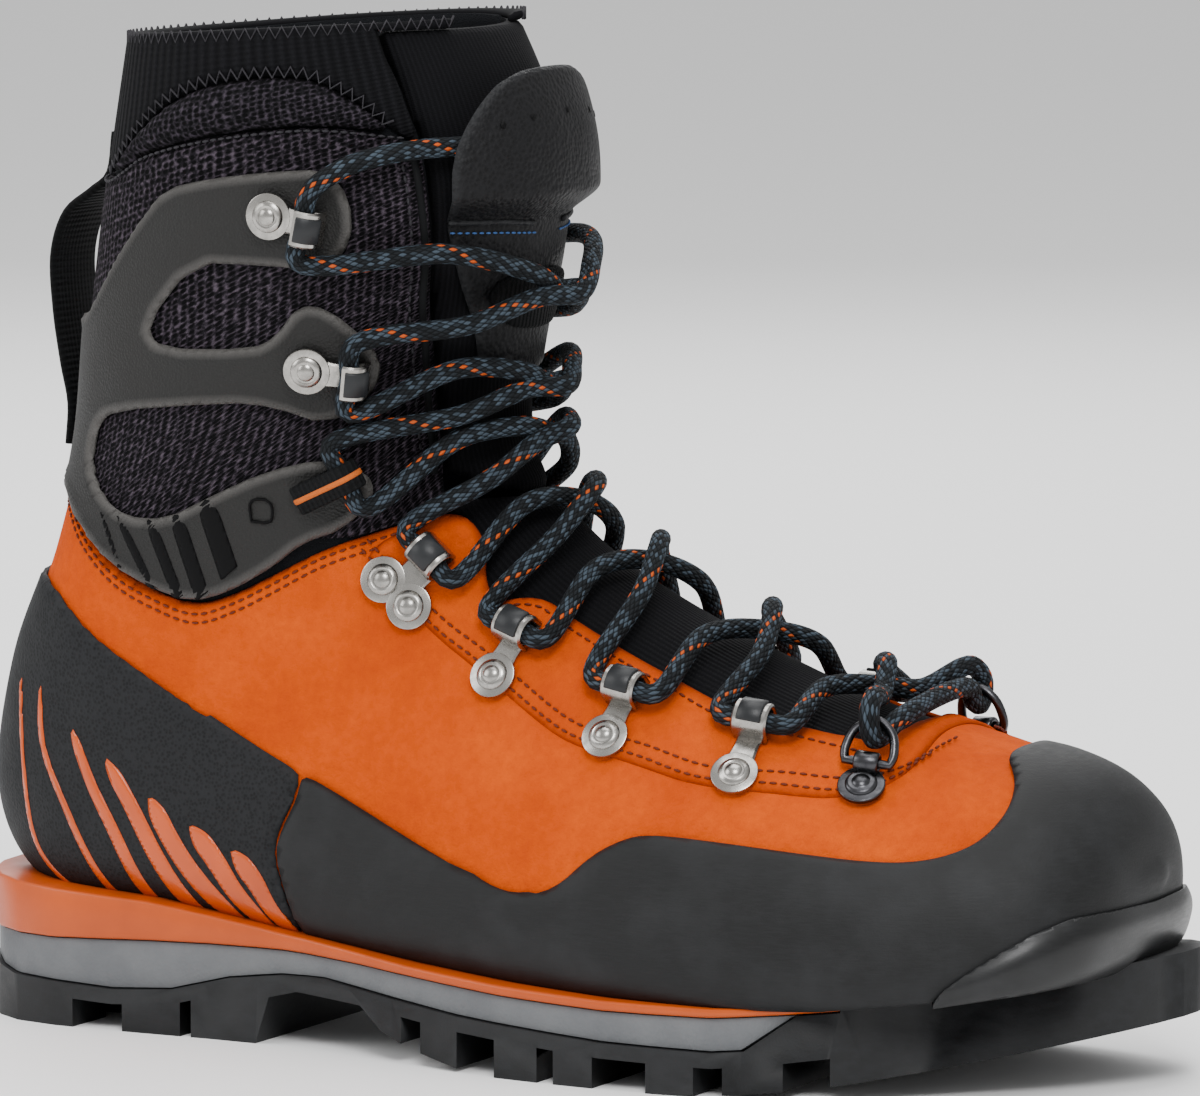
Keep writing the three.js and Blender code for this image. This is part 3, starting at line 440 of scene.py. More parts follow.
SOLE_TOP = ((-60, 36.5), (-12, 33.6), (18, 32), (56, 27.2), (95, 23.6), (123, 21.8), (150, 20.8), (178, 20.8),
            (205, 22.2), (228, 24.8), (250, 28.5), (300, 36))


def above_sole(p: np.ndarray, by: float = GAP) -> np.ndarray:
    """Height of points over the sole's top, less a clearance."""
    xs, zs = zip(*SOLE_TOP)
    return p[:, 2] - np.interp(p[:, 0], xs, zs) - by


@dataclass
class Skin:
    """A layer of the upper: part of the last's surface, cut to its outline, at an offset.

    The depth inside the outline shapes its edge, and stays on the mesh as the attribute "edge".
    """

    name: str
    depth: Field
    height: Profile
    wall: float
    cell: float = 1.9
    low: float = 0.0
    high: float = 1.0
    left: float = 0.0
    right: float = 1.0
    closed: bool = False
    floor: float = 0.0

    def build(self) -> bpy.types.Object:
        """Cuts the layer out of a fine grid over the last and lays it in place.

        Returns:
            The new object.
        """
        bm = bmesh.new()
        across = max(8, int((self.right - self.left) * 300 / self.cell))
        along = max(6, int((self.high - self.low) * 400 / self.cell))
        bmesh.ops.create_grid(bm, x_segments=across, y_segments=along, size=0.5)
        share, fine = self.even_columns()
        for v in bm.verts:
            v.co.x = float(np.interp(v.co.x + 0.5, share, fine))
            v.co.y = self.low + (v.co.y + 0.5) * (self.high - self.low)
        self.cut(bm)
        uv = bm.loops.layers.uv.new("UVMap")
        for face in bm.faces:
            for loop in face.loops:
                loop[uv].uv = (loop.vert.co.x * 0.3, loop.vert.co.y * 0.4)
        edge = bm.verts.layers.float.new("edge")
        layers = [bm.faces[:]]
        if self.closed:
            twin = bmesh.ops.duplicate(bm, geom=bm.faces[:])["geom"]
            backs = [g for g in twin if isinstance(g, bmesh.types.BMFace)]
            bmesh.ops.reverse_faces(bm, faces=backs)
            layers.append(backs)
        for i, faces in enumerate(layers):
            verts = list({v for f in faces for v in f.verts})
            u = np.array([v.co.x for v in verts])
            t = np.array([v.co.y for v in verts])
            depth = self.depth(LAST.point(t, u), u)
            lift = self.height(LAST.point(t, u), u, depth) if i == 0 else np.full(len(t), self.floor)
            lift = np.where(depth < 0.02, self.floor, lift) if self.closed else lift
            for v, p, d in zip(verts, raised(t, u, lift), depth):
                v.co = p
                v[edge] = d
        bmesh.ops.remove_doubles(bm, verts=bm.verts[:], dist=0.02)
        made = finish_mesh(bm, self.name)
        if not self.closed:
            add_wall(made, self.wall)
        return made

    def even_columns(self) -> tuple[np.ndarray, np.ndarray]:
        """Spaces the grid's columns evenly over the last.

        Returns:
            Shares of the way round the last, and the u of each.
        """
        fine = np.linspace(self.left, self.right, 1601)
        run = np.zeros(1601)
        for t in np.linspace(max(self.low, 0.04), self.high, 9):
            steps = np.linalg.norm(np.diff(LAST.point(np.full(1601, t), fine), axis=0), axis=1)
            run[1:] += np.cumsum(steps)
        return run / run[-1], fine

    def cut(self, bm: bmesh.types.BMesh) -> None:
        """Splits the grid along the outline and drops what lies outside.

        Args:
            bm: The grid, with u and t for x and y.
        """
        mark = bm.verts.layers.int.new("outside")
        verts = bm.verts[:]
        bm.verts.index_update()
        u = np.array([v.co.x for v in verts])
        t = np.array([v.co.y for v in verts])
        depth = self.depth(LAST.point(t, u), u)
        depth = np.where(np.abs(depth) < 1e-4, 1e-4, depth)
        for v, d in zip(verts, depth):
            v[mark] = int(d < 0)
        share = {}
        for e in bm.edges:
            a, b = depth[e.verts[0].index], depth[e.verts[1].index]
            if (a > 0) != (b > 0):
                share[e] = a / (a - b)
        split = bmesh.ops.bisect_edges(bm, edges=list(share), cuts=1, edge_percents=share)["geom_split"]
        rim = [g for g in split if isinstance(g, bmesh.types.BMVert)]
        for v in rim:
            v[mark] = 0
        bmesh.ops.connect_verts(bm, verts=rim)
        drop = [f for f in bm.faces if any(v[mark] for v in f.verts)]
        bmesh.ops.delete(bm, geom=drop, context="FACES")
        loose = [v for v in bm.verts if not v.link_faces]
        bmesh.ops.delete(bm, geom=loose, context="VERTS")


def level(top: float, edge: float = 1.2, drop: float = 0.8) -> Profile:
    """A flat layer whose edge is rounded down.

    Args:
        top: Height of its face over the last, in millimetres.
        edge: How wide the rounding is.
        drop: How far its edge falls.

    Returns:
        The height as a function of place and depth.
    """

    def height(_p: np.ndarray, _u: np.ndarray, depth: np.ndarray) -> np.ndarray:
        near = np.clip(1 - depth / edge, 0, 1)
        return top - drop * (1 - np.sqrt(1 - np.clip(near, 0, 0.999) ** 2))

    return height


def within(outline: Line, times: int = 2) -> Field:
    """Depth inside a rounded side-view outline."""
    ring = rounded(outline, times)
    return lambda p, _u: inside_depth(p[:, [0, 2]], ring)


def sweep(bm: bmesh.types.BMesh, path: np.ndarray, ups: np.ndarray, ring: np.ndarray,
          loop: bool = False, uv_step: float = 0.0) -> None:
    """Draws a closed profile along a path.

    Args:
        bm: The mesh that the swept form is added to.
        path: The centre line.
        ups: At each of its points, the direction that the profile's second axis leans to.
        ring: The profile's points, as (across, up), one set for all or one set for each path point.
        loop: Whether the path closes on itself.
        uv_step: The profile's length round, in millimetres, for a map of the surface; none if zero.
    """
    rings = np.broadcast_to(ring, (len(path), *ring.shape[-2:]))
    ahead = np.roll(path, -1, axis=0) - np.roll(path, 1, axis=0)
    if not loop:
        ahead[0], ahead[-1] = path[1] - path[0], path[-1] - path[-2]
    ahead /= np.linalg.norm(ahead, axis=1)[:, None] + 1e-12
    across = np.cross(ahead, ups)
    across /= np.linalg.norm(across, axis=1)[:, None] + 1e-12
    up = np.cross(across, ahead)
    spots = path[:, None] + rings[..., :1] * across[:, None] + rings[..., 1:] * up[:, None]
    first = [bm.verts.new(p) for p in spots[0]]
    edges = [bm.edges.new((first[i], first[(i + 1) % len(first)])) for i in range(len(first))]
    start_edges, row, walls = edges, first, []
    place = {v: (0.0, i) for i, v in enumerate(first)}
    run = 0.0
    for k in range(1, len(path)):
        grown = bmesh.ops.extrude_edge_only(bm, edges=edges)["geom"]
        fresh = {g for g in grown if isinstance(g, bmesh.types.BMVert)}
        walls += [g for g in grown if isinstance(g, bmesh.types.BMFace)]
        row = [next(e.other_vert(v) for e in v.link_edges if e.other_vert(v) in fresh) for v in row]
        run += float(np.linalg.norm(path[k] - path[k - 1]))
        for i, (v, p) in enumerate(zip(row, spots[k])):
            v.co = p
            place[v] = (run, i)
        edges = [g for g in grown if isinstance(g, bmesh.types.BMEdge)
                 and g.verts[0] in fresh and g.verts[1] in fresh]
    if uv_step:
        uv = bm.loops.layers.uv.verify()
        count = len(first)
        for face in walls:
            turns = [place[v][1] for v in face.verts]
            wraps = max(turns) == count - 1 and min(turns) == 0
            for corner in face.loops:
                along, i = place[corner.vert]
                i = count if wraps and i == 0 else i
                corner[uv].uv = (along * MM, i / count * uv_step * MM)
    if loop:
        bmesh.ops.bridge_loops(bm, edges=[*edges, *start_edges])
    else:
        for rim in (start_edges, edges):
            bmesh.ops.contextual_create(bm, geom=rim)


def circle_ring(radius: float, count: int = 10) -> np.ndarray:
    """A round profile."""
    angle = np.arange(count) * 2 * np.pi / count
    return radius * np.stack([np.cos(angle), np.sin(angle)], 1)


def strap_ring(width: float, wall: float) -> np.ndarray:
    """A flat profile with rounded edges, which lies across the path."""
    w, h = width / 2, wall / 2
    b = min(h * 0.75, w * 0.4)
    return np.array([[w - b, -h], [w, -h + b], [w, h - b], [w - b, h], [0, h], [-w + b, h], [-w, h - b],
                     [-w, -h + b], [-w + b, -h], [0, -h]])


def right_way_out(bm: bmesh.types.BMesh) -> None:
    """Merges doubles and turns every face outwards."""
    bmesh.ops.remove_doubles(bm, verts=bm.verts[:], dist=0.001)
    bmesh.ops.recalc_face_normals(bm, faces=bm.faces[:])


@dataclass(frozen=True)
class Trail:
    """A line over the surface of one side, given in side view, at a height over the last."""

    points: Line
    side: Side
    lift: float
    step: float = 2.6

    def run(self) -> tuple[np.ndarray, np.ndarray]:
        """Lays the trail.

        Returns:
            Its evenly spaced points, and the surface's normals there.
        """
        flat = smooth_path(self.points, 1.5)
        t, u = LAST.seat(flat[:, 0], flat[:, 1], self.side)
        base = raised(t, u, self.lift)
        rows = even_steps(np.hstack([base, LAST.normal(t, u)]), self.step)
        return rows[:, :3], rows[:, 3:]


def sew(name: str, trails: Sequence[Trail], length: float = 2.0, width: float = 0.75) -> bpy.types.Object:
    """Rows of stitches along trails.

    Args:
        name: The piece's name.
        trails: Where the rows run; each trail's step is the stitch spacing.
        length: One stitch's length in millimetres.
        width: The thread's thickness.

    Returns:
        One object with every stitch.
    """
    bm = bmesh.new()
    for trail in trails:
        path, normals = trail.run()
        for i in range(len(path) - 1):
            ahead = path[i + 1] - path[i]
            ahead /= np.linalg.norm(ahead) + 1e-12
            up = normals[i]
            side = np.cross(up, ahead)
            middle = (path[i] + path[i + 1]) / 2
            form = Matrix((
                (ahead[0] * length / 2, side[0] * width / 2, up[0] * width / 2, middle[0]),
                (ahead[1] * length / 2, side[1] * width / 2, up[1] * width / 2, middle[1]),
                (ahead[2] * length / 2, side[2] * width / 2, up[2] * width / 2, middle[2]),
                (0, 0, 0, 1),
            ))
            bmesh.ops.create_uvsphere(bm, u_segments=6, v_segments=4, radius=1, matrix=form)
    return finish_mesh(bm, name)


def overlock(name: str, trails: Sequence[Trail], swing: float = 1.6, width: float = 0.55) -> bpy.types.Object:
    """A zig-zag of thread along trails, as an overlocked edge has.

    Args:
        name: The piece's name.
        trails: Where it runs; each trail's step is half a zig-zag.
        swing: How far it swings to each side, in millimetres.
        width: The thread's thickness.

    Returns:
        One object with every run.
    """
    bm = bmesh.new()
    for trail in trails:
        path, normals = trail.run()
        ahead = np.gradient(path, axis=0)
        aside = np.cross(normals, ahead)
        aside /= np.linalg.norm(aside, axis=1)[:, None] + 1e-12
        turn = np.where(np.arange(len(path)) % 2 == 0, swing, -swing)[:, None]
        zigzag = path + aside * turn
        sweep(bm, zigzag, normals, circle_ring(width / 2, 5))
    right_way_out(bm)
    return finish_mesh(bm, name)


def bead(name: str, trails: Sequence[Trail], radius: float) -> bpy.types.Object:
    """Round beading or piping along trails.

    Args:
        name: The piece's name.
        trails: Where it runs.
        radius: Its radius in millimetres.

    Returns:
        One object with every run.
    """
    bm = bmesh.new()
    for trail in trails:
        path, normals = trail.run()
        sweep(bm, path, normals, circle_ring(radius, 8))
    right_way_out(bm)
    return finish_mesh(bm, name)


def both(points: Line, lift: float, step: float = 2.6) -> list[Trail]:
    """The same trail on both sides."""
    return [Trail(points, side, lift, step) for side in Side]


# ---------------------------------------------------------------- finishes


def linear(code: str) -> tuple[float, float, float, float]:
    """An sRGB hex colour as linear RGBA."""
    parts = [int(code[i : i + 2], 16) / 255 for i in (0, 2, 4)]
    return (*(c / 12.92 if c <= 0.04045 else ((c + 0.055) / 1.055) ** 2.4 for c in parts), 1.0)


def add_node(tree: bpy.types.NodeTree, kind: str, settings: dict | None = None,
             links: dict | None = None) -> bpy.types.Node:
    """Adds a node with its settings and links.

    Args:
        tree: The material's node tree.
        kind: The node's type name.
        settings: Values by attribute name (lower case), input name or input number.
        links: Output sockets by the input name or number that they feed.

    Returns:
        The new node.
    """
    made = tree.nodes.new(kind)
    for key, value in (settings or {}).items():
        if isinstance(key, str) and key[0].islower():
            setattr(made, key, value)
        else:
            made.inputs[key].default_value = value
    for key, socket in (links or {}).items():
        tree.links.new(socket, made.inputs[key])
    return made


@dataclass(frozen=True)
class Look:
    """What every finish shares: its colours and how light meets it."""

    name: str
    base: str
    shade: str
    roughness: float = 0.7
    metallic: float = 0.0
    sheen: float = 0.0
    coat: float = 0.0
    gloss: float = 0.3
    bump: float = 0.3
    depth: float = 0.0002

    def tree(self) -> tuple[bpy.types.Material, bpy.types.NodeTree, bpy.types.Node]:
        """Starts the material.

        Returns:
            The new material, its node tree, and its shader with this look's constants.
        """
        look = bpy.data.materials.new(self.name)
        look.use_nodes = True
        tree = look.node_tree
        shader = tree.nodes["Principled BSDF"]
        shader.inputs["Metallic"].default_value = self.metallic
        shader.inputs["Roughness"].default_value = self.roughness
        shader.inputs["Specular IOR Level"].default_value = 0.5 if self.metallic else self.gloss
        if self.sheen:
            shader.inputs["Sheen Weight"].default_value = self.sheen
            shader.inputs["Sheen Roughness"].default_value = 0.45
            shader.inputs["Sheen Tint"].default_value = linear(self.base)
        if self.coat:
            shader.inputs["Coat Weight"].default_value = self.coat
            shader.inputs["Coat Roughness"].default_value = 0.25
        return look, tree, shader

    def mottle(self, tree: bpy.types.NodeTree, coords: bpy.types.NodeSocket, scale: float,
               detail: float = 4.0) -> bpy.types.NodeSocket:
        """Fractal noise of a scale in cells per metre, as a factor."""
        return add_node(tree, "ShaderNodeTexNoise", {"Scale": scale, "Detail": detail, "Roughness": 0.6},
                        {"Vector": coords}).outputs["Fac"]

    def mix(self, tree: bpy.types.NodeTree, low: object, high: object,
            factor: bpy.types.NodeSocket) -> bpy.types.NodeSocket:
        """Mixes two colours by a factor.

        Args:
            tree: The material's node tree.
            low: The colour at 0, a hex code or a socket.
            high: The colour at 1, a hex code or a socket.
            factor: The socket that mixes them.

        Returns:
            The mixed colour.
        """
        mixer = add_node(tree, "ShaderNodeMix", {"data_type": "RGBA"}, {0: factor})
        for key, colour in ((6, low), (7, high)):
            if isinstance(colour, str):
                mixer.inputs[key].default_value = linear(colour)
            else:
                tree.links.new(colour, mixer.inputs[key])
        return mixer.outputs[2]

    def ramp(self, tree: bpy.types.NodeTree, value: bpy.types.NodeSocket, low: float,
             high: float) -> bpy.types.NodeSocket:
        """Maps a value from low to high onto 0 to 1, clamped."""
        return add_node(tree, "ShaderNodeMapRange", {"From Min": low, "From Max": high},
                        {"Value": value}).outputs["Result"]

    def maths(self, tree: bpy.types.NodeTree, kind: str, *values: object) -> bpy.types.NodeSocket:
        """Adds one sum.

        Args:
            tree: The material's node tree.
            kind: The operation's name.
            *values: Its sockets and numbers, in order.

        Returns:
            The result.
        """
        made = add_node(tree, "ShaderNodeMath", {"operation": kind})
        for i, value in enumerate(values):
            if isinstance(value, (int, float)):
                made.inputs[i].default_value = value
            else:
                tree.links.new(value, made.inputs[i])
        return made.outputs[0]

    def emboss(self, tree: bpy.types.NodeTree, shader: bpy.types.Node,
               height: bpy.types.NodeSocket) -> None:
        """Turns a height into the shader's normal."""
        bump = add_node(tree, "ShaderNodeBump", {"Strength": self.bump, "Distance": self.depth},
                        {"Height": height})
        tree.links.new(bump.outputs["Normal"], shader.inputs["Normal"])

    def edge(self, tree: bpy.types.NodeTree, width: float) -> bpy.types.NodeSocket:
        """1 on a piece's cut edge, falling to 0 at a width inside it, in millimetres."""
        depth = add_node(tree, "ShaderNodeAttribute", {"attribute_name": "edge"}).outputs["Fac"]
        return self.ramp(tree, depth, width, 0.0)


@dataclass(frozen=True)
class Suede(Look):
    """Napped leather: split hide, sanded. Soft light and dark patches, a faint bloom and no shine."""

    def build(self) -> bpy.types.Material:
        """Makes the material.

        Returns:
            The material, with its nodes in place.
        """
        look, tree, shader = self.tree()
        coords = add_node(tree, "ShaderNodeTexCoord").outputs["Object"]
        patches = self.ramp(tree, self.mottle(tree, coords, 38), 0.34, 0.68)  # strokes of the nap, 25 mm
        nap = self.mottle(tree, coords, 1300, 3)  # fibres about 0.8 mm long
        grain = self.ramp(tree, self.mottle(tree, coords, 420, 5), 0.3, 0.72)
        colour = self.mix(tree, self.base, self.shade, patches)
        flecked = self.mix(tree, colour, "9c3200", self.maths(tree, "MULTIPLY", grain, 0.4))
        # darker, towards 7a2600, within 2 mm of each cut edge
        toned_colour = self.mix(tree, flecked, "7a2600", self.maths(tree, "MULTIPLY", self.edge(tree, 2.0), 0.7))
        tree.links.new(toned_colour, shader.inputs["Base Color"])
        self.emboss(tree, shader, self.maths(tree, "ADD", nap, self.maths(tree, "MULTIPLY", grain, 0.8)))
        return look


@dataclass(frozen=True)
class Rubber(Look):
    """Vulcanised rubber, lightly brushed along its length: fine streaks and paler rubbed places."""

    streak: float = 9.0

    def build(self) -> bpy.types.Material:
        """Makes the material.

        Returns:
            The material, with its nodes in place.
        """
        look, tree, shader = self.tree()
        coords = add_node(tree, "ShaderNodeTexCoord").outputs["Object"]
        drawn = add_node(tree, "ShaderNodeMapping", {"Scale": (1, 1, self.streak)}, {"Vector": coords})
        streaks = self.mottle(tree, drawn.outputs["Vector"], 260, 5)
        toned = self.ramp(tree, self.mottle(tree, coords, 55, 6), 0.46, 0.72)
        colour = self.mix(tree, self.base, self.shade, self.ramp(tree, streaks, 0.4, 0.7))
        toned_colour = self.mix(tree, colour, "232426", self.maths(tree, "MULTIPLY", toned, 0.5))
        tree.links.new(toned_colour, shader.inputs["Base Color"])
        rough = self.maths(tree, "MULTIPLY_ADD", streaks, 0.25, self.roughness - 0.12)
        tree.links.new(rough, shader.inputs["Roughness"])
        self.emboss(tree, shader, self.maths(tree, "ADD", streaks, self.mottle(tree, coords, 1500, 2)))
        return look


@dataclass(frozen=True)
class Moulded(Look):
    """Injection-moulded plastic or foam: a fine even grain, and slightly paler rims along its cut edges where
    a rim colour is given.
    """

    grain: float = 1800.0
    rim: str = ""
    rim_width: float = 1.6

    def build(self) -> bpy.types.Material:
        """Makes the material.

        Returns:
            The material, with its nodes in place.
        """
        look, tree, shader = self.tree()
        coords = add_node(tree, "ShaderNodeTexCoord").outputs["Object"]
        patches = self.ramp(tree, self.mottle(tree, coords, 70, 5), 0.3, 0.75)
        colour = self.mix(tree, self.base, self.shade, patches)
        if self.rim:
            # paler, towards the rim colour, within rim_width of the cut edge
            colour = self.mix(tree, colour, self.rim, self.edge(tree, self.rim_width))
        tree.links.new(colour, shader.inputs["Base Color"])
        cells = add_node(tree, "ShaderNodeTexVoronoi", {"Scale": self.grain}, {"Vector": coords})
        rough = self.maths(tree, "MULTIPLY_ADD", patches, 0.12, self.roughness - 0.05)
        tree.links.new(rough, shader.inputs["Roughness"])
        self.emboss(tree, shader, cells.outputs["Distance"])
        return look


@dataclass(frozen=True)
class Hide(Look):
    """Coated microfibre or leather, embossed: rounded pebbles about a millimetre across."""

    pebble: float = 1.1

    def build(self) -> bpy.types.Material:
        """Makes the material.

        Returns:
            The material, with its nodes in place.
        """
        look, tree, shader = self.tree()
        coords = add_node(tree, "ShaderNodeTexCoord").outputs["Object"]
        cells = add_node(tree, "ShaderNodeTexVoronoi", {"Scale": 1000 / self.pebble}, {"Vector": coords})
        crease = self.ramp(tree, cells.outputs["Distance"], 0.15, 0.6)
        patches = self.mottle(tree, coords, 90, 5)
        colour = self.mix(tree, self.shade, self.base, crease)
        # paler, towards 2a2b2d, within 1.6 mm of the cut edge
        toned = self.mix(tree, colour, "2a2b2d", self.maths(tree, "MULTIPLY", self.edge(tree, 1.6), 0.5))
        tree.links.new(toned, shader.inputs["Base Color"])
        rough = self.maths(tree, "MULTIPLY_ADD", patches, 0.3, self.roughness - 0.15)
        tree.links.new(rough, shader.inputs["Roughness"])
        self.emboss(tree, shader, self.maths(tree, "SUBTRACT", 1.0, cells.outputs["Distance"]))
        return look


@dataclass(frozen=True)
class Mesh(Look):
    """Spacer mesh: a knitted net of small round cells, with paler flecks of yarn between dark holes."""

    cell: float = 1.9

    def build(self) -> bpy.types.Material:
        """Makes the material.

        Returns:
            The material, with its nodes in place.
        """
        look, tree, shader = self.tree()
        coords = add_node(tree, "ShaderNodeTexCoord").outputs["UV"]
        pull = add_node(tree, "ShaderNodeMapping", {"Scale": (1, 1.5, 1)}, {"Vector": coords})
        cells = add_node(tree, "ShaderNodeTexVoronoi", {"Scale": 1000 / self.cell, "Randomness": 0.25},
                         {"Vector": pull.outputs["Vector"]})
        net = self.ramp(tree, cells.outputs["Distance"], 0.28, 0.52)
        fleck = self.ramp(tree, self.mottle(tree, coords, 900, 2), 0.42, 0.66)
        yarn = self.mix(tree, self.base, self.shade, fleck)
        colour = self.mix(tree, "040405", yarn, net)
        tree.links.new(colour, shader.inputs["Base Color"])
        self.emboss(tree, shader, net)
        return look


@dataclass(frozen=True)
class Ribbed(Look):
    """Stretch knit or webbing: close ribs with a fine weave across them."""

    rib: float = 2.2

    def build(self) -> bpy.types.Material:
        """Makes the material.

        Returns:
            The material, with its nodes in place.
        """
        look, tree, shader = self.tree()
        coords = add_node(tree, "ShaderNodeTexCoord").outputs["UV"]
        parts = add_node(tree, "ShaderNodeSeparateXYZ", links={"Vector": coords})
        turns = 2000 * math.pi / self.rib
        ribs = self.maths(tree, "SINE", self.maths(tree, "MULTIPLY", parts.outputs["X"], turns))
        weave = self.maths(tree, "SINE", self.maths(tree, "MULTIPLY", parts.outputs["Y"], turns * 2.2))
        height = self.maths(tree, "MULTIPLY_ADD", weave, 0.3, ribs)
        shade = self.ramp(tree, height, -1.2, 1.2)
        fuzz = self.mottle(tree, coords, 1500, 3)
        colour = self.mix(tree, self.shade, self.base, self.maths(tree, "MULTIPLY", shade, fuzz))
        tree.links.new(colour, shader.inputs["Base Color"])
        self.emboss(tree, shader, self.maths(tree, "ADD", height, fuzz))
        return look


@dataclass(frozen=True)
class Braid(Look):
    """A round braided lace: strands that cross at a slant, some of them bright tracers."""

    strand: float = 2.1
    round: float = 15.1

    def build(self) -> bpy.types.Material:
        """Makes the material.

        Returns:
            The material, with its nodes in place.
        """
        look, tree, shader = self.tree()
        coords = add_node(tree, "ShaderNodeTexCoord").outputs["UV"]
        parts = add_node(tree, "ShaderNodeSeparateXYZ", links={"Vector": coords})
        turns = 2 * math.pi * 6
        along = self.maths(tree, "MULTIPLY", parts.outputs["X"], 1000 * 2 * math.pi / (self.strand * 2.4))
        around = self.maths(tree, "MULTIPLY", parts.outputs["Y"], 1000 * turns / self.round)
        left, right = self.maths(tree, "ADD", along, around), self.maths(tree, "SUBTRACT", along, around)
        weave = self.maths(tree, "MULTIPLY", self.maths(tree, "SINE", left), self.maths(tree, "SINE", right))
        plump = self.maths(tree, "ABSOLUTE", weave)
        ids = [self.maths(tree, "FLOOR", self.maths(tree, "MULTIPLY", s, 1 / math.pi)) for s in (left, right)]
        cell = add_node(tree, "ShaderNodeCombineXYZ", links={0: ids[0], 1: ids[1]}).outputs[0]
        pick = add_node(tree, "ShaderNodeTexWhiteNoise", {"noise_dimensions": "2D"}, {"Vector": cell})
        fleck = self.ramp(tree, pick.outputs["Value"], 0.45, 0.75)
        yarn = self.mix(tree, self.base, self.shade, fleck)
        tracer_id = self.maths(tree, "MODULO", self.maths(tree, "ABSOLUTE", ids[0]), 12.0)
        tracer = self.maths(tree, "MULTIPLY", self.maths(tree, "LESS_THAN", tracer_id, 0.5),
                            self.maths(tree, "GREATER_THAN", weave, 0.0))
        bright = self.mix(tree, yarn, "c4541a", self.maths(tree, "MULTIPLY", tracer, 0.9))
        colour = self.mix(tree, "060708", bright, self.ramp(tree, plump, 0.0, 0.45))
        tree.links.new(colour, shader.inputs["Base Color"])
        self.emboss(tree, shader, plump)
        return look


@dataclass(frozen=True)
class Plated(Look):
    """Stamped steel with a satin plate: a bright grey with a faint grain and small dull rubs."""

    def build(self) -> bpy.types.Material:
        """Makes the material.

        Returns:
            The material, with its nodes in place.
        """
        look, tree, shader = self.tree()
        coords = add_node(tree, "ShaderNodeTexCoord").outputs["Object"]
        rubs = self.ramp(tree, self.mottle(tree, coords, 420, 6), 0.35, 0.7)
        colour = self.mix(tree, self.base, self.shade, rubs)
        tree.links.new(colour, shader.inputs["Base Color"])
        rough = self.maths(tree, "MULTIPLY_ADD", rubs, 0.16, self.roughness - 0.06)
        tree.links.new(rough, shader.inputs["Roughness"])
        self.emboss(tree, shader, self.mottle(tree, coords, 2600, 2))
        return look


@dataclass(frozen=True)
class Thread(Look):
    """Twisted sewing thread: a soft colour with a little sheen and a fine lay."""

    def build(self) -> bpy.types.Material:
        """Makes the material.

        Returns:
            The material, with its nodes in place.
        """
        look, tree, shader = self.tree()
        coords = add_node(tree, "ShaderNodeTexCoord").outputs["Object"]
        lay = self.mottle(tree, coords, 2400, 2)
        tree.links.new(self.mix(tree, self.base, self.shade, lay), shader.inputs["Base Color"])
        self.emboss(tree, shader, lay)
        return look


SUEDE = Suede("suede_split_napped", "cb4f00", "b54000", 0.92, sheen=0.06, gloss=0.08, bump=0.7,
              depth=0.0004)
RAND_RUBBER = Rubber("rubber_rand_brushed", "090a0b", "151617", 0.62, bump=0.35, depth=0.00015)
TOE_RUBBER = Rubber("rubber_toe_glossed", "08090a", "0f1011", 0.42, coat=0.15, bump=0.2, depth=0.0001)
TREAD_RUBBER = Rubber("rubber_tread_moulded", "131415", "1d1e20", 0.6, bump=0.3, depth=0.00015, streak=2.0)
WEDGE_TPU = Moulded("urethane_wedge_satin", "b84a08", "a84206", 0.4, bump=0.12, depth=0.0001, coat=0.1)
FOAM_GREY = Moulded("foam_midsole_moulded", "66686a", "595b5e", 0.68, bump=0.35, depth=0.0002, grain=1200)
PATCH_HIDE = Hide("microfibre_heel_embossed", "1b1c1e", "0c0d0e", 0.7, gloss=0.2, bump=0.5, depth=0.0002,
                  pebble=0.9)
STRIPE_TPU = Moulded("urethane_stripe_printed", "c44d08", "b04205", 0.3, bump=0.1, depth=0.0001, coat=0.3)
FRAME_TPU = Moulded("urethane_frame_grained", "131312", "1a1918", 0.6, bump=0.6, depth=0.0003,
                    grain=1500, rim="4c4a48", rim_width=2.6)
FRAME_SMOOTH = Moulded("urethane_frame_polished", "050506", "080809", 0.6, gloss=0.1, bump=0.05,
                       depth=0.0001)
ANKLE_MESH = Mesh("polyester_spacer_mesh", "151317", "484049", 0.95, sheen=0.05, gloss=0.1, bump=0.8,
                  depth=0.0005)
ROLL_MESH = Mesh("polyester_collar_mesh", "131215", "3b353d", 0.95, sheen=0.05, gloss=0.1, bump=0.7,
                 depth=0.0004, cell=1.6)
CUFF_KNIT = Ribbed("neoprene_ribbed_knit", "1a1a1d", "08080a", 0.9, sheen=0.05, gloss=0.1, bump=0.6,
                   depth=0.0005, rib=2.6)
TONGUE_KNIT = Ribbed("neoprene_tongue_knit", "161619", "09090b", 0.9, sheen=0.05, gloss=0.1, bump=0.4,
                     depth=0.0003, rib=1.4)
LINING = Thread("polyester_lining_brushed", "18191c", "0e0f11", 0.95, sheen=0.1, gloss=0.1, bump=0.8,
                depth=0.0006)
SHIELD_HIDE = Hide("leather_shield_grained", "101012", "050506", 0.6, gloss=0.18, bump=0.9, depth=0.0004,
                   pebble=1.2)
WEBBING = Ribbed("nylon_webbing_woven", "17181a", "08090a", 0.85, sheen=0.05, gloss=0.15, bump=0.8,
                 depth=0.0004, rib=1.5)
WEBBING_TRIM = Thread("nylon_webbing_stripe", "c8641e", "a34c10", 0.8, bump=0.6, depth=0.0003)
LACE_BRAID = Braid("polyester_lace_braided", "191c1f", "3f4a54", 0.85, sheen=0.05, gloss=0.15, bump=0.9,
                   depth=0.0005)
NICKEL = Plated("steel_nickel_satin", "aaa7a2", "8c8a86", 0.27, 1.0, bump=0.1, depth=0.00005)
DARK_NICKEL = Plated("steel_nickel_dark", "4c4c4f", "38383b", 0.3, 1.0, bump=0.1, depth=0.00005)
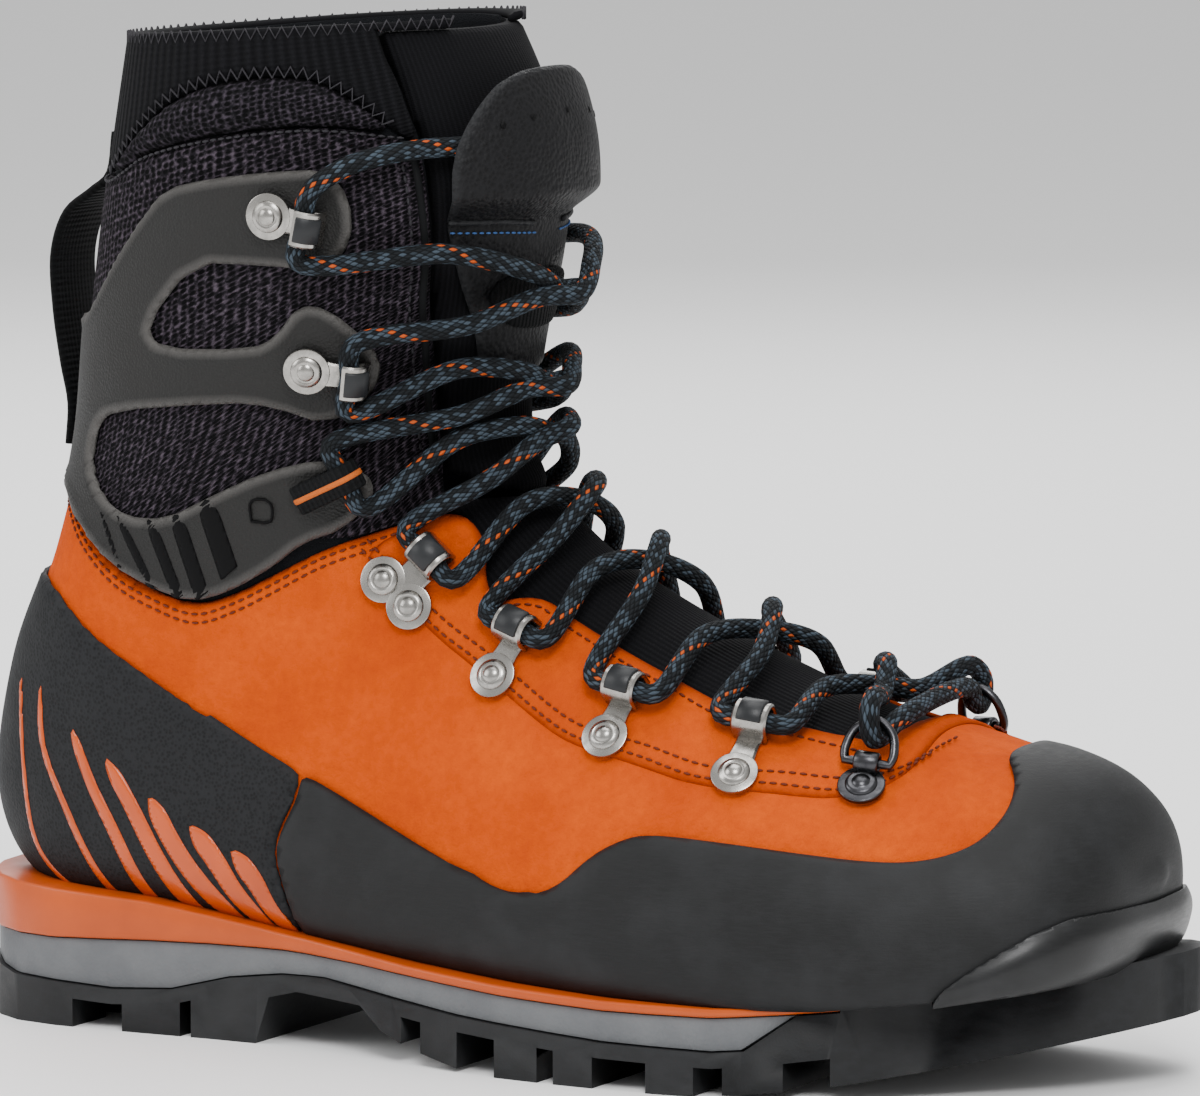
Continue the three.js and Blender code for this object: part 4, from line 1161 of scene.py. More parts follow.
INSERT = Moulded("nylon_insert_moulded", "1a1b1d", "232527", 0.4, bump=0.15, depth=0.0001)
ORANGE_THREAD = Thread("polyester_thread_rust", "6a2204", "4a1803", 0.7, bump=0.4, depth=0.0001)
GREY_THREAD = Thread("polyester_thread_grey", "302e33", "18171a", 0.75, bump=0.4, depth=0.0001)
BLUE_THREAD = Thread("polyester_thread_blue", "3a5f96", "2b4a78", 0.7, bump=0.4, depth=0.0001)
FELT = Thread("felt_footbed_pressed", "4a4d52", "34363a", 0.95, sheen=0.3, bump=0.8, depth=0.0005)
BOARD = Moulded("fibreboard_pressed", "242528", "1a1b1d", 0.6, bump=0.3, depth=0.0002)

_BUILT: dict[str, bpy.types.Material] = {}


def dress(piece: bpy.types.Object, look: Look) -> None:
    """Gives a piece its material in place of any it has."""
    if look.name not in _BUILT:
        _BUILT[look.name] = look.build()
    piece.data.materials.clear()
    piece.data.materials.append(_BUILT[look.name])


def settle(piece: bpy.types.Object, look: Look, body: str = "boot",
           stands_for: Sequence[str] = ()) -> bpy.types.Object:
    """Dresses a new piece, hides the CAD nodes that it stands for and lets it ride.

    Args:
        piece: The new piece.
        look: Its finish.
        body: The CAD body that it moves with; empty if the caller sets that.
        stands_for: CAD nodes that it replaces.

    Returns:
        The piece.
    """
    dress(piece, look)
    if stands_for:
        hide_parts(*stands_for)
    if body:
        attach(piece, body)
    LOG.info("%s: %d faces", piece.name, len(piece.data.polygons))
    return piece


# ---------------------------------------------------------------- the upper's outlines

CUFF_FRONT = ((78, 252), (82, 238), (86, 230), (88, 224), (91, 216), (92.5, 205), (93, 190), (91, 176),
              (90, 160), (90, 148), (91, 134))
THROAT = ((96, 128), (102, 121), (103, 113), (107, 107.5), (112, 109), (118, 108.5), (124, 105), (140, 97.5),
          (152, 92.5), (169, 85.5), (188, 81.5), (203, 78.5))
SUEDE_TOP = ((-60, 134), (-22, 132), (-10, 129), (-1, 121), (10, 112), (21, 107), (32, 104), (42, 107),
             (52, 112), (65, 119), (79, 124), (89, 127.5))
ROLL_BASE = ((6, 205), (14, 208), (22, 212), (37, 216), (56, 219), (71, 220), (84, 218.6))
ROLL_TOP = ((6, 205.2), (15, 213), (22, 219), (31, 225), (44, 229.5), (56, 231), (67, 231), (74, 228),
            (80, 224), (85, 219.2))
EYESTAY = ((73, 118), (80, 111), (93, 100), (105, 93), (117, 86), (128, 80), (136, 77), (151, 74), (167, 70),
           (185, 69), (199, 68), (209, 70), (214, 75), (211, 82))
RAND_EDGE = ((226, 120), (226, 77), (235, 72), (238, 67), (237, 62), (233, 58), (225, 55.5), (215, 55),
             (200, 56), (177, 58), (159, 59), (152, 57), (145, 53), (137, 45.5), (129, 43), (119, 44),
             (102, 50), (84, 57), (67, 64), (62, 66))
RAND_BACK = ((61, 60), (57, 53), (55, 47), (57, 39), (59, 31), (61, 0))
PATCH_TOP = ((-70, 109), (-22, 109), (-10, 106), (-5, 102), (4, 95), (15, 89), (27, 82), (40, 75.5),
             (52, 70), (61.4, 66))
FRAME_EDGE = ((-70, 170), (-2, 170), (5, 176), (13, 186), (22, 196), (30, 204), (43, 207), (58, 209),
              (72, 210), (77, 203), (77, 193), (71, 186), (56, 187), (38, 187), (23, 171), (27, 166),
              (52, 167), (58, 170), (64, 178), (71, 177), (79, 169), (80, 162), (76, 155), (67, 149),
              (56, 153.5), (45, 154), (11, 150), (5, 145), (3, 136), (8, 129), (15, 125), (26, 125),
              (38, 131), (52, 137.5), (66, 141), (75, 138), (77, 132), (70, 124), (60, 120.5), (53, 114.6))
HEEL_STRIPES = (
    (((-20.5, 84.5), (-18.8, 59.2), (-16.1, 42.3), (-6.2, 31)), 0.65, 0.8),
    (((-12.6, 82.4), (-11.7, 67.6), (-4.4, 51.8), (3.8, 34.4), (6, 30)), 0.8, 1.2),
    (((-2.5, 73), (3, 59.9), (9.4, 47.9), (14.9, 34.3), (17, 29)), 1.3, 2.1),
    (((7.6, 66.1), (14.5, 55.2), (20.5, 44.2), (26.5, 33.6), (29, 29)), 1.9, 2.7),
    (((19.8, 57.7), (25.7, 47.5), (31.2, 39.9), (37.6, 32.4), (41, 27)), 2.5, 2.9),
    (((31.3, 51.5), (37.9, 44), (42.5, 37), (46.9, 31.4), (50, 26)), 2.8, 2.7),
    (((43, 46.5), (49.2, 39.5), (52, 34.3), (54.4, 30.6), (57, 26)), 2.9, 2.2),
)
FRAME_BARS = (
    (((7.5, 127.6), (12.9, 113.7), (15, 106)), 0.6, 0.6),
    (((13.2, 125.4), (22.5, 107.3), (25, 102)), 1.1, 1.1),
    (((21.6, 125.6), (29.5, 105), (31, 100)), 1.5, 1.5),
    (((28.6, 127.4), (35.8, 105), (37, 100)), 2.0, 2.0),
    (((36.4, 131.4), (43.7, 108.3), (46, 100)), 2.6, 2.6),
)
SHIELD_SIDE = ((100, 229), (97.5, 221), (95.5, 212), (95.5, 200), (97, 185), (98, 170), (97.5, 159))
TONGUE_FOOT = 134
TONGUE_LAP = 7
HIGH = 320
CUFF_FROM = 0.82  # the share of the last where the cuff's layers start


def cuff_side(dx: float) -> list[Pair]:
    """The region behind the cuff's front edge, moved towards the toe by dx."""
    return [*shifted(CUFF_FRONT, dx, 0), (91 + dx, 120), (-80, 120), (-80, HIGH), (60, HIGH)]


def under_rim(p: np.ndarray, _u: np.ndarray) -> np.ndarray:
    """Distance of points below the cuff's rim."""
    return np.interp(p[:, 0], (2, 94), (238, 244)) - p[:, 2]


def on_sole(p: np.ndarray, _u: np.ndarray) -> np.ndarray:
    """The region over the sole's top."""
    return above_sole(p)


def smoothstep(value: np.ndarray, low: float, high: float) -> np.ndarray:
    """The usual smooth step from 0 at low to 1 at high."""
    f = np.clip((value - low) / (high - low), 0, 1)
    return f * f * (3 - 2 * f)


def all_of(*fields: Field) -> Field:
    """Inside every one of several regions."""
    return lambda p, u: np.min([f(p, u) for f in fields], axis=0)


def band_outline(line: Line, start: float, end: float) -> np.ndarray:
    """The outline of a band along a side-view line.

    Args:
        line: The band's middle.
        start: Half its width at its first end.
        end: Half its width at its last end.

    Returns:
        The closed outline.
    """
    path = smooth_path(line, 2.0)
    along = np.gradient(path, axis=0)
    along /= np.linalg.norm(along, axis=1)[:, None]
    aside = np.stack([-along[:, 1], along[:, 0]], 1)
    half = np.linspace(start, end, len(path))
    half[:3] *= (0.15, 0.6, 0.9)  # it starts in a point
    half = half[:, None]
    return np.vstack([path + aside * half, (path - aside * half)[::-1]])


@dataclass
class Upper:
    """The suede, the fabric ankle, the padded collar and the lining."""

    suede_top: float = 0.2
    eyestay_top: float = 1.0
    mesh_top: float = 0.35
    roll_rise: float = 3.2
    roll_floor: float = -1.2
    roll_shoulder: float = 6.0  # how far in from its seam a roll reaches its full height
    rim_gap: float = 0.055  # half the rim's opening at the front, as a share of the way round
    rim_radius: float = 0.8

    def build(self) -> None:
        """Builds and dresses every layer of the upper."""
        self.suede()
        self.ankle()
        self.collar()
        self.lining()

    def suede(self) -> None:
        """The suede shell, its eyestay and their seams."""
        region = [*SUEDE_TOP, *THROAT, (206, 84), (207, 200), (300, 200), (300, 0), (-80, 0)]
        shell = Skin("suede_shell", all_of(within(region), on_sole),
                     level(self.suede_top, 1.6, 1.2), SHELL_WALL, low=-LAST.cap, high=0.8)
        settle(shell.build(), SUEDE, stands_for=["suede_upper"])
        band = [*EYESTAY, (206, 90), (205, 78.5), *reversed(THROAT[:-1]), (89, 127)]
        eyestay = Skin("suede_eyestay", within(band), level(self.eyestay_top, 1.0, 0.8), 0.8,
                       cell=1.5, low=0.16, high=0.62, left=0.15, right=0.85)
        settle(eyestay.build(), SUEDE)
        seam = EYESTAY[:-1]
        rows = [*both(shifted(seam, 0.6, 1.6), self.eyestay_top + 0.15),
                *both(shifted(seam, 1.8, 3.9), self.eyestay_top + 0.15)]
        settle(sew("eyestay_stitches", rows), ORANGE_THREAD)
        top = [*shifted(SUEDE_TOP[1:], 0, -1.9)]
        rows = [*both(top, self.suede_top + 0.1), *both(shifted(top, 0, -2.1), self.suede_top + 0.1)]
        settle(sew("suede_top_stitches", rows), ORANGE_THREAD)
        throat = shifted(THROAT[3:], -0.6, -2.0)
        settle(sew("throat_stitches", both(throat, self.eyestay_top + 0.15)), ORANGE_THREAD)

    def ankle(self) -> None:
        """The mesh ankle, with its panel seams."""
        base = list(shifted(SUEDE_TOP, 0, GAP))
        top = [(-60, 203), *shifted(ROLL_BASE, 0, -GAP), (94, 213)]
        region = [*base, (96, 129), (100, 132), (100, 211), *reversed(top)]
        fabric = Skin("ankle_mesh", all_of(within(region, 1), within(cuff_side(0))),
                      level(self.mesh_top, 1.4, 1.2), SHELL_WALL, low=0.5)
        settle(fabric.build(), ANKLE_MESH, stands_for=["ankle_fabric"])
        front = [(89.6, 214), (91, 204), (91.4, 190), (89.6, 176), (88.4, 160), (88.4, 148), (89, 137)]
        settle(bead("ankle_front_binding", both(front, self.mesh_top + 0.1), 0.9), WEBBING)
        settle(sew("ankle_front_stitches", both(shifted(front, -2.4, 0), self.mesh_top + 0.1)), GREY_THREAD)

    def collar(self) -> None:
        """The padded mesh rolls, the ribbed cuff above them and its overlocked rim."""
        outline = [*ROLL_BASE, *reversed(ROLL_TOP)]
        for side, left, right in ((Side.OUTER, 0.0, 0.5), (Side.INNER, 0.5, 1.0)):
            roll = Skin(f"collar_pad_{side.name.lower()}", all_of(within(outline), within(cuff_side(0))),
                        self.plump, 0, cell=1.5, low=CUFF_FROM, left=left, right=right, closed=True,
                        floor=self.roll_floor)
            made = settle(roll.build(), ROLL_MESH,
                          stands_for=[f"collar_roll_{side.name.lower()}"])
        above = [(-60, 203), *shifted(ROLL_TOP, 0, GAP), (94, 213), (94, HIGH), (-60, HIGH)]
        cuff = Skin("cuff_knit", all_of(within(above, 1), within(cuff_side(0))),
                    level(0.1, 1.2, 0.9), SHELL_WALL, low=CUFF_FROM)
        settle(cuff.build(), CUFF_KNIT, stands_for=["cuff_neoprene"])
        seam = [(-4, 204.4), *shifted(ROLL_BASE[:-1], 0, -1.2), (88, 217)]
        settle(sew("collar_seam_stitches", both(seam, self.mesh_top + 0.2, 2.2)), GREY_THREAD)
        edge = shifted(ROLL_TOP, 0, 1.0)
        settle(overlock("collar_overlock", both(edge, 0.4, 1.5), swing=1.3, width=0.7), GREY_THREAD)
        self.rim()

    def plump(self, _p: np.ndarray, _u: np.ndarray, depth: np.ndarray) -> np.ndarray:
        """The crown of a padded roll over its depth."""
        f = np.clip(depth / self.roll_shoulder, 0, 1)
        return self.roll_floor + (self.roll_rise - self.roll_floor) * np.sqrt(1 - (1 - f) ** 2)

    def rim(self) -> None:
        """The overlocked rim of the cuff: a soft bead with thread over it."""
        u = np.concatenate([np.linspace(0.5 - self.rim_gap, 0, 60),
                            np.linspace(1, 0.5 + self.rim_gap, 60)[1:]])
        path = raised(np.full(len(u), 1.0), u, -1.7)
        normals = LAST.normal(np.full(len(u), 0.999), u)
        bm = bmesh.new()
        egg = np.array([[1.3, 0], [0.9, 1.8], [0, 2.3], [-0.9, 1.8], [-1.3, 0], [-0.9, -2.2],
                        [0, -2.9], [0.9, -2.2]])
        sweep(bm, path, normals, egg * self.rim_radius)
        right_way_out(bm)
        settle(finish_mesh(bm, "cuff_rim_binding"), CUFF_KNIT)
        bm = bmesh.new()
        fine = even_steps(np.hstack([path, normals]), 1.5)
        swing = np.where(np.arange(len(fine)) % 2 == 0, 1.0, -1.0)[:, None]
        zig = fine[:, :3] + fine[:, 3:] * 1.75 + np.array([0, 0, 1.0]) * (swing * 1.3 - 0.2)
        sweep(bm, zig, fine[:, 3:], circle_ring(0.3, 5))
        right_way_out(bm)
        settle(finish_mesh(bm, "cuff_rim_overlock"), GREY_THREAD)

    def lining(self) -> None:
        """The brushed lining of the cuff and the foot."""
        opening = [(79, HIGH), *CUFF_FRONT, (92, 128), *shifted(THROAT[2:], -2, -TONGUE_LAP - 2 * GAP),
                   (212, 84 - TONGUE_LAP), (213, 200), (150, HIGH)]
        ring = rounded(opening, 1)
        floor = 2 * GAP + 2.0
        bootie = Skin("bootie_lining",
                      lambda p, _u: np.minimum(-inside_depth(p[:, [0, 2]], ring), above_sole(p, floor)),
                      level(LINING_OUT, 0.5, 0.1), LINING_WALL, cell=2.6, low=-LAST.cap)
        settle(bootie.build(), LINING, stands_for=["inner_bootie"])


@dataclass
class Tongue:
    """The padded tongue, its leather shield and label, and the gusset below."""

    pocket_from: float = 196.0
    pocket_to: float = 204.0
    pocket_rise: float = 7.25
    shield_top: float = -0.1
    shield_wall: float = 1.3
    hole_radius: float = 0.8

    def build(self) -> None:
        """Builds and dresses the tongue's pieces."""
        front = [*shifted(CUFF_FRONT[:-1], 1, 0), (92, TONGUE_FOOT)]
        region = [*front, (150, TONGUE_FOOT), (150, HIGH), (78, HIGH)]
        pad = Skin("tongue_pad", all_of(within(region, 1), under_rim),
                   self.plump, 0, cell=1.9, low=0.5, left=0.25, right=0.75, closed=True, floor=LINING_IN)
        made = settle(pad.build(), TONGUE_KNIT, "tongue", ["tongue"])
        below = [(93.5, TONGUE_FOOT - 1.6), (93.5, 127), *shifted(THROAT[2:], -2, -TONGUE_LAP),
                 (211, 84 - TONGUE_LAP), (212, 120), (140, TONGUE_FOOT - 1.6)]
        gusset = Skin("tongue_gusset_mesh", within(below, 1), level(LINING_OUT, 1.0, 0.8), LINING_WALL,
                      low=0.15, high=0.62, left=0.25, right=0.75)
        settle(gusset.build(), TONGUE_KNIT, stands_for=["tongue_gusset"])
        self.shield()

    def plump(self, _p: np.ndarray, _u: np.ndarray, depth: np.ndarray) -> np.ndarray:
        """The tongue's padded face: flat under the shield and rounded at its edges."""
        f = np.clip(depth / 3.0, 0, 1)
        return LINING_IN + LINING_WALL * np.sqrt(1 - (1 - f) ** 2)

    def shield_height(self, p: np.ndarray, _u: np.ndarray, depth: np.ndarray) -> np.ndarray:
        """The shield's face, which stands off at the top as a pocket for the lace."""
        rise = self.pocket_rise * smoothstep(p[:, 2], self.pocket_from, self.pocket_to)
        return self.shield_top + rise - 0.7 * np.clip(1 - depth / 1.2, 0, 1) ** 2

    def shield(self) -> None:
        """The leather shield, its beading, stitches, holes and label."""
        region = [*SHIELD_SIDE, (130, 159), (130, 231), (104, 231)]
        face = Skin("shield_leather", within(region, 1), self.shield_height, self.shield_wall, cell=1.4,
                    low=0.55, high=1.0, left=0.3, right=0.7)
        settle(face.build(), SHIELD_HIDE, "tongue", ["tongue_shield"])
        seam = [(95.9, 194.6), (104, 194.2), (107.2, 193.6)]
        stitched = both(seam, self.shield_top + 0.3, 1.9)
        settle(sew("shield_seam_stitches", stitched, 1.5, 0.6), BLUE_THREAD, body="tongue")
        piping = both([(95.9, 197), (104, 196.8), (107.2, 196)], self.shield_top + 0.35, 1.5)
        settle(bead("shield_piping", piping, 0.7), SHIELD_HIDE, body="tongue")
        self.perforations()
        label = Skin("tongue_woven_label", within([(100.5, 186), (101, 168), (130, 168), (130, 186)]),
                     level(1.05, 0.8, 0.6), 0.8, cell=1.2, low=0.6, high=0.95, left=0.35, right=0.65)
        settle(label.build(), WEBBING, "tongue", ["tongue_label"])

    def perforations(self) -> None:
        """The shield's row of small dark holes, under its top edge."""
        bm = bmesh.new()
        for side in Side:
            for x, z in ((101.6, 218.4), (104.4, 219.6), (106.6, 220.6)):
                t, u = LAST.seat([x], [z], side)
                out = LAST.normal(t, u)[0]
                place = raised(t, u, self.shield_top + self.pocket_rise)[0]
                turn = Vector(out).to_track_quat("Z", "Y").to_matrix().to_4x4()
                form = Matrix.Translation(Vector(place)) @ turn
                bmesh.ops.create_cone(bm, cap_ends=True, segments=12, radius1=self.hole_radius,
                                      radius2=self.hole_radius, depth=0.3, matrix=form)
        settle(finish_mesh(bm, "shield_perforations"), FRAME_SMOOTH, body="tongue")


@dataclass
class Rubber:
    """The rand, the heel patch with its stripes, and the toe bumper."""

    rand_top: float = GAP + RAND_WALL
    patch_top: float = GAP + PATCH_WALL
    bumper_top: float = 2 * GAP + RAND_WALL + BUMPER_WALL

    def build(self) -> None:
        """Builds and dresses the rubber and the heel patch."""
        region = [*RAND_EDGE, *RAND_BACK, (300, 0), (300, 120)]
        rand = Skin("rand_rubber", all_of(within(region), on_sole), level(self.rand_top, 2.2, 1.2),
                    RAND_WALL, low=-LAST.cap, high=0.6)
        settle(rand.build(), RAND_RUBBER, stands_for=["rubber_rand"])
        behind = [*PATCH_TOP, *shifted(RAND_BACK, -2 * GAP, 0), (-70, 0)]
        patch = Skin("heel_patch", all_of(within(behind), on_sole), level(self.patch_top, 1.4, 0.9),
                     PATCH_WALL, low=0.4, high=0.85)
        settle(patch.build(), PATCH_HIDE, stands_for=["heel_patch_striped"])
        lip = [(227, 10), (227, 25), (240, 34), (250, 41), (257, 44.5), (290, 45), (290, 10)]
        bumper = Skin("toe_bumper_lip", all_of(within(lip), on_sole), self.lip_height, BUMPER_WALL,
                      cell=1.4, low=-LAST.cap, high=0.25)
        settle(bumper.build(), TOE_RUBBER, stands_for=["toe_bumper"])
        self.stripes(behind)

    def lip_height(self, _p: np.ndarray, _u: np.ndarray, depth: np.ndarray) -> np.ndarray:
        """The bumper's leaf-like section: it swells to its middle."""
        f = np.clip(depth / 5.0, 0, 1)
        return self.bumper_top - 1.9 * (1 - f) ** 2

    def stripes(self, patch: Line) -> None:
        """Curved stripes that fan out from the back of the heel and widen to the front.

        Args:
            patch: The outline of the heel patch that they are printed on.
        """
        inside = within(shifted(patch, 0, -0.5))
        for i, (line, start, end) in enumerate(HEEL_STRIPES):
            ring = band_outline(line, start, end)
            band = Skin(f"heel_stripe_{i + 1}",
                        all_of(lambda p, _u, r=ring: inside_depth(p[:, [0, 2]], r), inside, on_sole),
                        level(self.patch_top + 0.35, 0.5, 0.3), 0.5, cell=0.9,
                        low=0.44, high=0.74, left=0.0, right=1.0)
            settle(band.build(), STRIPE_TPU)


@dataclass
class AnkleFrame:
    """The moulded frame that wraps the heel and holds the hooks."""

    face: float = GAP + RAND_WALL
    rim: float = 0.45

    def height(self, _p: np.ndarray, _u: np.ndarray, depth: np.ndarray) -> np.ndarray:
        """A flat face with a raised rim round every edge."""
        bank = self.rim * np.exp(-(((depth - 1.4) / 1.1) ** 2))
        return self.face - 0.25 + bank - 1.0 * (1 - np.sqrt(1 - np.clip(1 - depth / 1.0, 0, 0.999) ** 2))

    def build(self) -> None:
        """Builds and dresses the frame and the smooth bars at its back."""
        under = [q for q in shifted(SUEDE_TOP, 0, 1.2) if q[0] < 50]
        region = [*FRAME_EDGE, *reversed(under)]
        frame_skin = Skin("ankle_frame_shell", within(region, 1), self.height, RAND_WALL, cell=1.4, low=0.5)
        settle(frame_skin.build(), FRAME_TPU, stands_for=["ankle_frame"])
        inside = within(region, 1)
        for i, (line, start, end) in enumerate(FRAME_BARS):
            ring = band_outline(line, start, end)
            bar = Skin(f"ankle_frame_bar_{i + 1}",
                       all_of(lambda p, _u, r=ring: inside_depth(p[:, [0, 2]], r), inside),
                       level(self.face + 0.12, 0.5, 0.3), 0.4, cell=1.1, low=0.66, high=0.9)
            settle(bar.build(), FRAME_SMOOTH)
        dimple = [(48.4, 125.6), (53, 125.6), (53, 130.4), (48.4, 130.4), (48.4, 125.6)]
        settle(bead("ankle_frame_mark", both(dimple, self.face, 1.0), 0.35), FRAME_SMOOTH)


@dataclass
class Sole:
    """The tread, the foam midsole and the wedge, from the part's own solids with broken edges."""

    bevel: float = 0.7

    def build(self) -> None:
        """Copies, bevels and dresses the sole's layers, and dresses what stays."""
        for node, look, slot, width in (
            ("outsole_lugged", TREAD_RUBBER, "black_rubber", 0.8),
            ("midsole_grey", FOAM_GREY, "grey_foam", 0.9),
            ("midsole_wedge_orange", WEDGE_TPU, "orange_tpu", 0.9),
        ):
            settle(self.broken(node, width), look, stands_for=[node])
        for node, look in (("footbed", FELT), ("lasting_board", BOARD), ("shank_plate", BOARD)):
            dress(frame["nodes"][node], look)

    def broken(self, node: str, width: float) -> bpy.types.Object:
        """A copy of a CAD node with its loose triangles merged and its sharp edges broken.

        Args:
            node: The CAD node's name.
            width: The bevel's width in millimetres.

        Returns:
            The copy.
        """
        bm = bmesh.new()
        bm.from_mesh(frame["nodes"][node].data)
        bmesh.ops.scale(bm, vec=(1000, 1000, 1000), verts=bm.verts[:])
        bmesh.ops.remove_doubles(bm, verts=bm.verts[:], dist=0.002)
        bmesh.ops.dissolve_limit(bm, angle_limit=math.radians(1.0), verts=bm.verts[:], edges=bm.edges[:])
        sharp = [e for e in bm.edges if len(e.link_faces) == 2 and e.calc_face_angle(0) > math.radians(28)]
        bmesh.ops.bevel(bm, geom=sharp, offset=width, offset_type="OFFSET", segments=2, profile=0.5,
                        affect="EDGES", clamp_overlap=True, material=-1)
        made = finish_mesh(bm, f"{node}_moulded")
        made.data.set_sharp_from_angle(angle=math.radians(35))
        return made


# ---------------------------------------------------------------- hardware and lace


class Spot(Enum):
    """Where each piece of lace hardware sits: its rivet's place and the lace's place, in side view."""

    RING = ((205, 70), (203, 78.5))
    LOOP_TOE = ((176, 72), (176, 81.5))
    LOOP_MIDDLE = ((143, 79), (145, 88.5))
    LOOP_UPPER = ((111, 91), (115, 101))
    LOCK_GUIDE = ((83.5, 109), (91, 117.5))
    WEB_LOOP = ((60, 131), (72, 137.5))
    HOOK_LOWER = ((65, 163), (74.5, 162))
    HOOK_UPPER = ((59, 199), (68.5, 197))

    def seat(self, side: Side) -> Seat:
        """The spot's local frame on one side."""
        return Seat(self.value[0], self.value[1], side)

    @property
    def hook(self) -> bool:
        """Whether the lace only hangs behind it."""
        return self in (Spot.HOOK_LOWER, Spot.HOOK_UPPER)

    @property
    def lift(self) -> float:
        """The underside of its plate over the last."""
        return HOOK_LIFT if self.hook else HARDWARE_LIFT


def lace_lift(lift: float) -> float:
    """The lace's centre over the last, in a guide whose plate is at a lift."""
    return lift + METAL + GUIDE_ROOM / 2 + LACE_RADIUS


def basis(seat: Seat, at: float, lift: float, across: float = 0.0) -> Matrix:
    """A matrix that stands a form on the seat's tangent plane.

    Args:
        seat: The local frame.
        at: Place along its first axis, in millimetres.
        lift: Height over the last.
        across: Place along its second axis.

    Returns:
        The matrix.
    """
    _, first, second, out, _ = seat.frame()
    place = seat.lay(np.array([[at, across, lift]]))[0]
    rows = [[*(axis[k] for axis in (first, second, out)), place[k]] for k in range(3)]
    return Matrix((*rows, (0, 0, 0, 1)))


@dataclass
class Hardware:
    """The nickel guides, hooks and rings, with their rivets and inserts."""

    plate_radius: float = 5.6
    rivet_radius: float = 3.8
    ring_half: float = 5.8
    ring_length: float = 10.5
    ring_tilt: float = 25.0
    wire: float = 1.1
    lock_rivets: float = 4.6

    def build(self) -> None:
        """Builds and dresses the hardware of both sides."""
        for side in Side:
            tail = side.name.lower()
            for spot in (Spot.LOOP_TOE, Spot.LOOP_MIDDLE, Spot.LOOP_UPPER, Spot.LOCK_GUIDE,
                         Spot.HOOK_LOWER, Spot.HOOK_UPPER):
                self.guide(spot, side, tail)
            self.ring(side, tail)

    def plate(self, bm: bmesh.types.BMesh, seat: Seat, rivets: Sequence[float], reach: float,
              lift: float) -> None:
        """A stamped plate with its neck and rivets.

        Args:
            bm: The mesh that it is added to.
            seat: Its local frame.
            rivets: Where its rivets are, across the plate.
            reach: The neck's end, along the first axis.
            lift: Its underside over the last.
        """
        for across in rivets:
            form = basis(seat, 0, lift + METAL / 2, across)
            made = bmesh.ops.create_cone(bm, cap_ends=True, segments=32, radius1=self.plate_radius,
                                         radius2=self.plate_radius, depth=METAL, matrix=form)
            rim = [e for e in {e for v in made["verts"] for e in v.link_edges}
                   if e.is_manifold and e.calc_face_angle(0) > 1.0]
            bmesh.ops.bevel(bm, geom=rim, offset=0.3, offset_type="OFFSET", segments=2, profile=0.5,
                            affect="EDGES", material=-1)
            self.rivet(bm, basis(seat, 0, lift + METAL, across))
        xs = np.linspace(0, reach, 6)
        path = seat.lay(np.stack([xs, 0 * xs, 0 * xs + lift + METAL / 2], 1))
        out = seat.frame()[3]
        waist = 1 - 0.25 * np.sin(np.linspace(0, np.pi, 6)) if len(rivets) == 1 else np.ones(6)
        rings = np.stack([strap_ring(GUIDE_WIDTH * 0.9 * w, METAL) for w in waist])
        sweep(bm, path, np.tile(out, (6, 1)), rings)

    def rivet(self, bm: bmesh.types.BMesh, form: Matrix) -> None:
        """A domed rivet with a pressed ring, turned from its profile.

        Args:
            bm: The mesh that it is added to.
            form: Where it stands.
        """
        r = self.rivet_radius
        profile = [(r, -0.6), (r, 0.25), (r * 0.93, 0.62), (r * 0.72, 0.95), (r * 0.64, 0.82),
                   (r * 0.55, 0.84), (r * 0.48, 1.15), (r * 0.25, 1.5), (0, 1.62)]
        verts = [bm.verts.new((x, 0, z)) for x, z in profile]
        edges = [bm.edges.new(pair) for pair in zip(verts, verts[1:])]
        known = set(bm.verts)
        bmesh.ops.spin(bm, geom=[*verts, *edges], axis=(0, 0, 1), cent=(0, 0, 0), angle=math.tau, steps=28,
                       use_merge=True)
        turned = [*verts, *(v for v in bm.verts if v not in known)]
        bmesh.ops.remove_doubles(bm, verts=turned, dist=0.001)
        turned = [v for v in turned if v.is_valid]
        rim = [e for e in {e for v in turned for e in v.link_edges} if e.is_boundary]
        bmesh.ops.contextual_create(bm, geom=rim)
        bmesh.ops.transform(bm, matrix=form, verts=turned)

    def arch(self, spot: Spot, seat: Seat, radius: float, low: float, high: float, width: float,
             wall: float, legs: bool) -> bmesh.types.BMesh:
        """A strip bent over the lace, from one angle to another.

        Args:
            spot: The place it belongs to.
            seat: Its local frame.
            radius: The bend's radius at the strip's middle.
            low: The first angle, from the toe side's level.
            high: The last angle.
            width: The strip's width along the lace.
            wall: Its thickness.
            legs: Whether it runs down to the plate at its ends.

        Returns:
            The strip's mesh.
        """
        *_, reach = seat.frame()
        rise = lace_lift(spot.lift)
        angle = np.linspace(low, high, 22)
        local = np.stack([radius * np.cos(angle), 0 * angle, rise + radius * np.sin(angle)], 1)
        ups = np.stack([np.cos(angle), 0 * angle, np.sin(angle)], 1)
        if legs:
            foot = np.array([[radius, 0, spot.lift + METAL / 2]])
            local, ups = np.vstack([foot, local]), np.vstack([[[1, 0, 0]], ups])
            if not spot.hook:
                foot = np.array([[-radius, 0, spot.lift + METAL / 2]])
                local, ups = np.vstack([local, foot]), np.vstack([ups, [[-1, 0, 0]]])
        _, first, second, out, _ = seat.frame()
        turn = np.stack([first, second, out])
        bm = bmesh.new()
        sweep(bm, seat.stand(local, reach), ups @ turn, strap_ring(width, wall))
        return bm

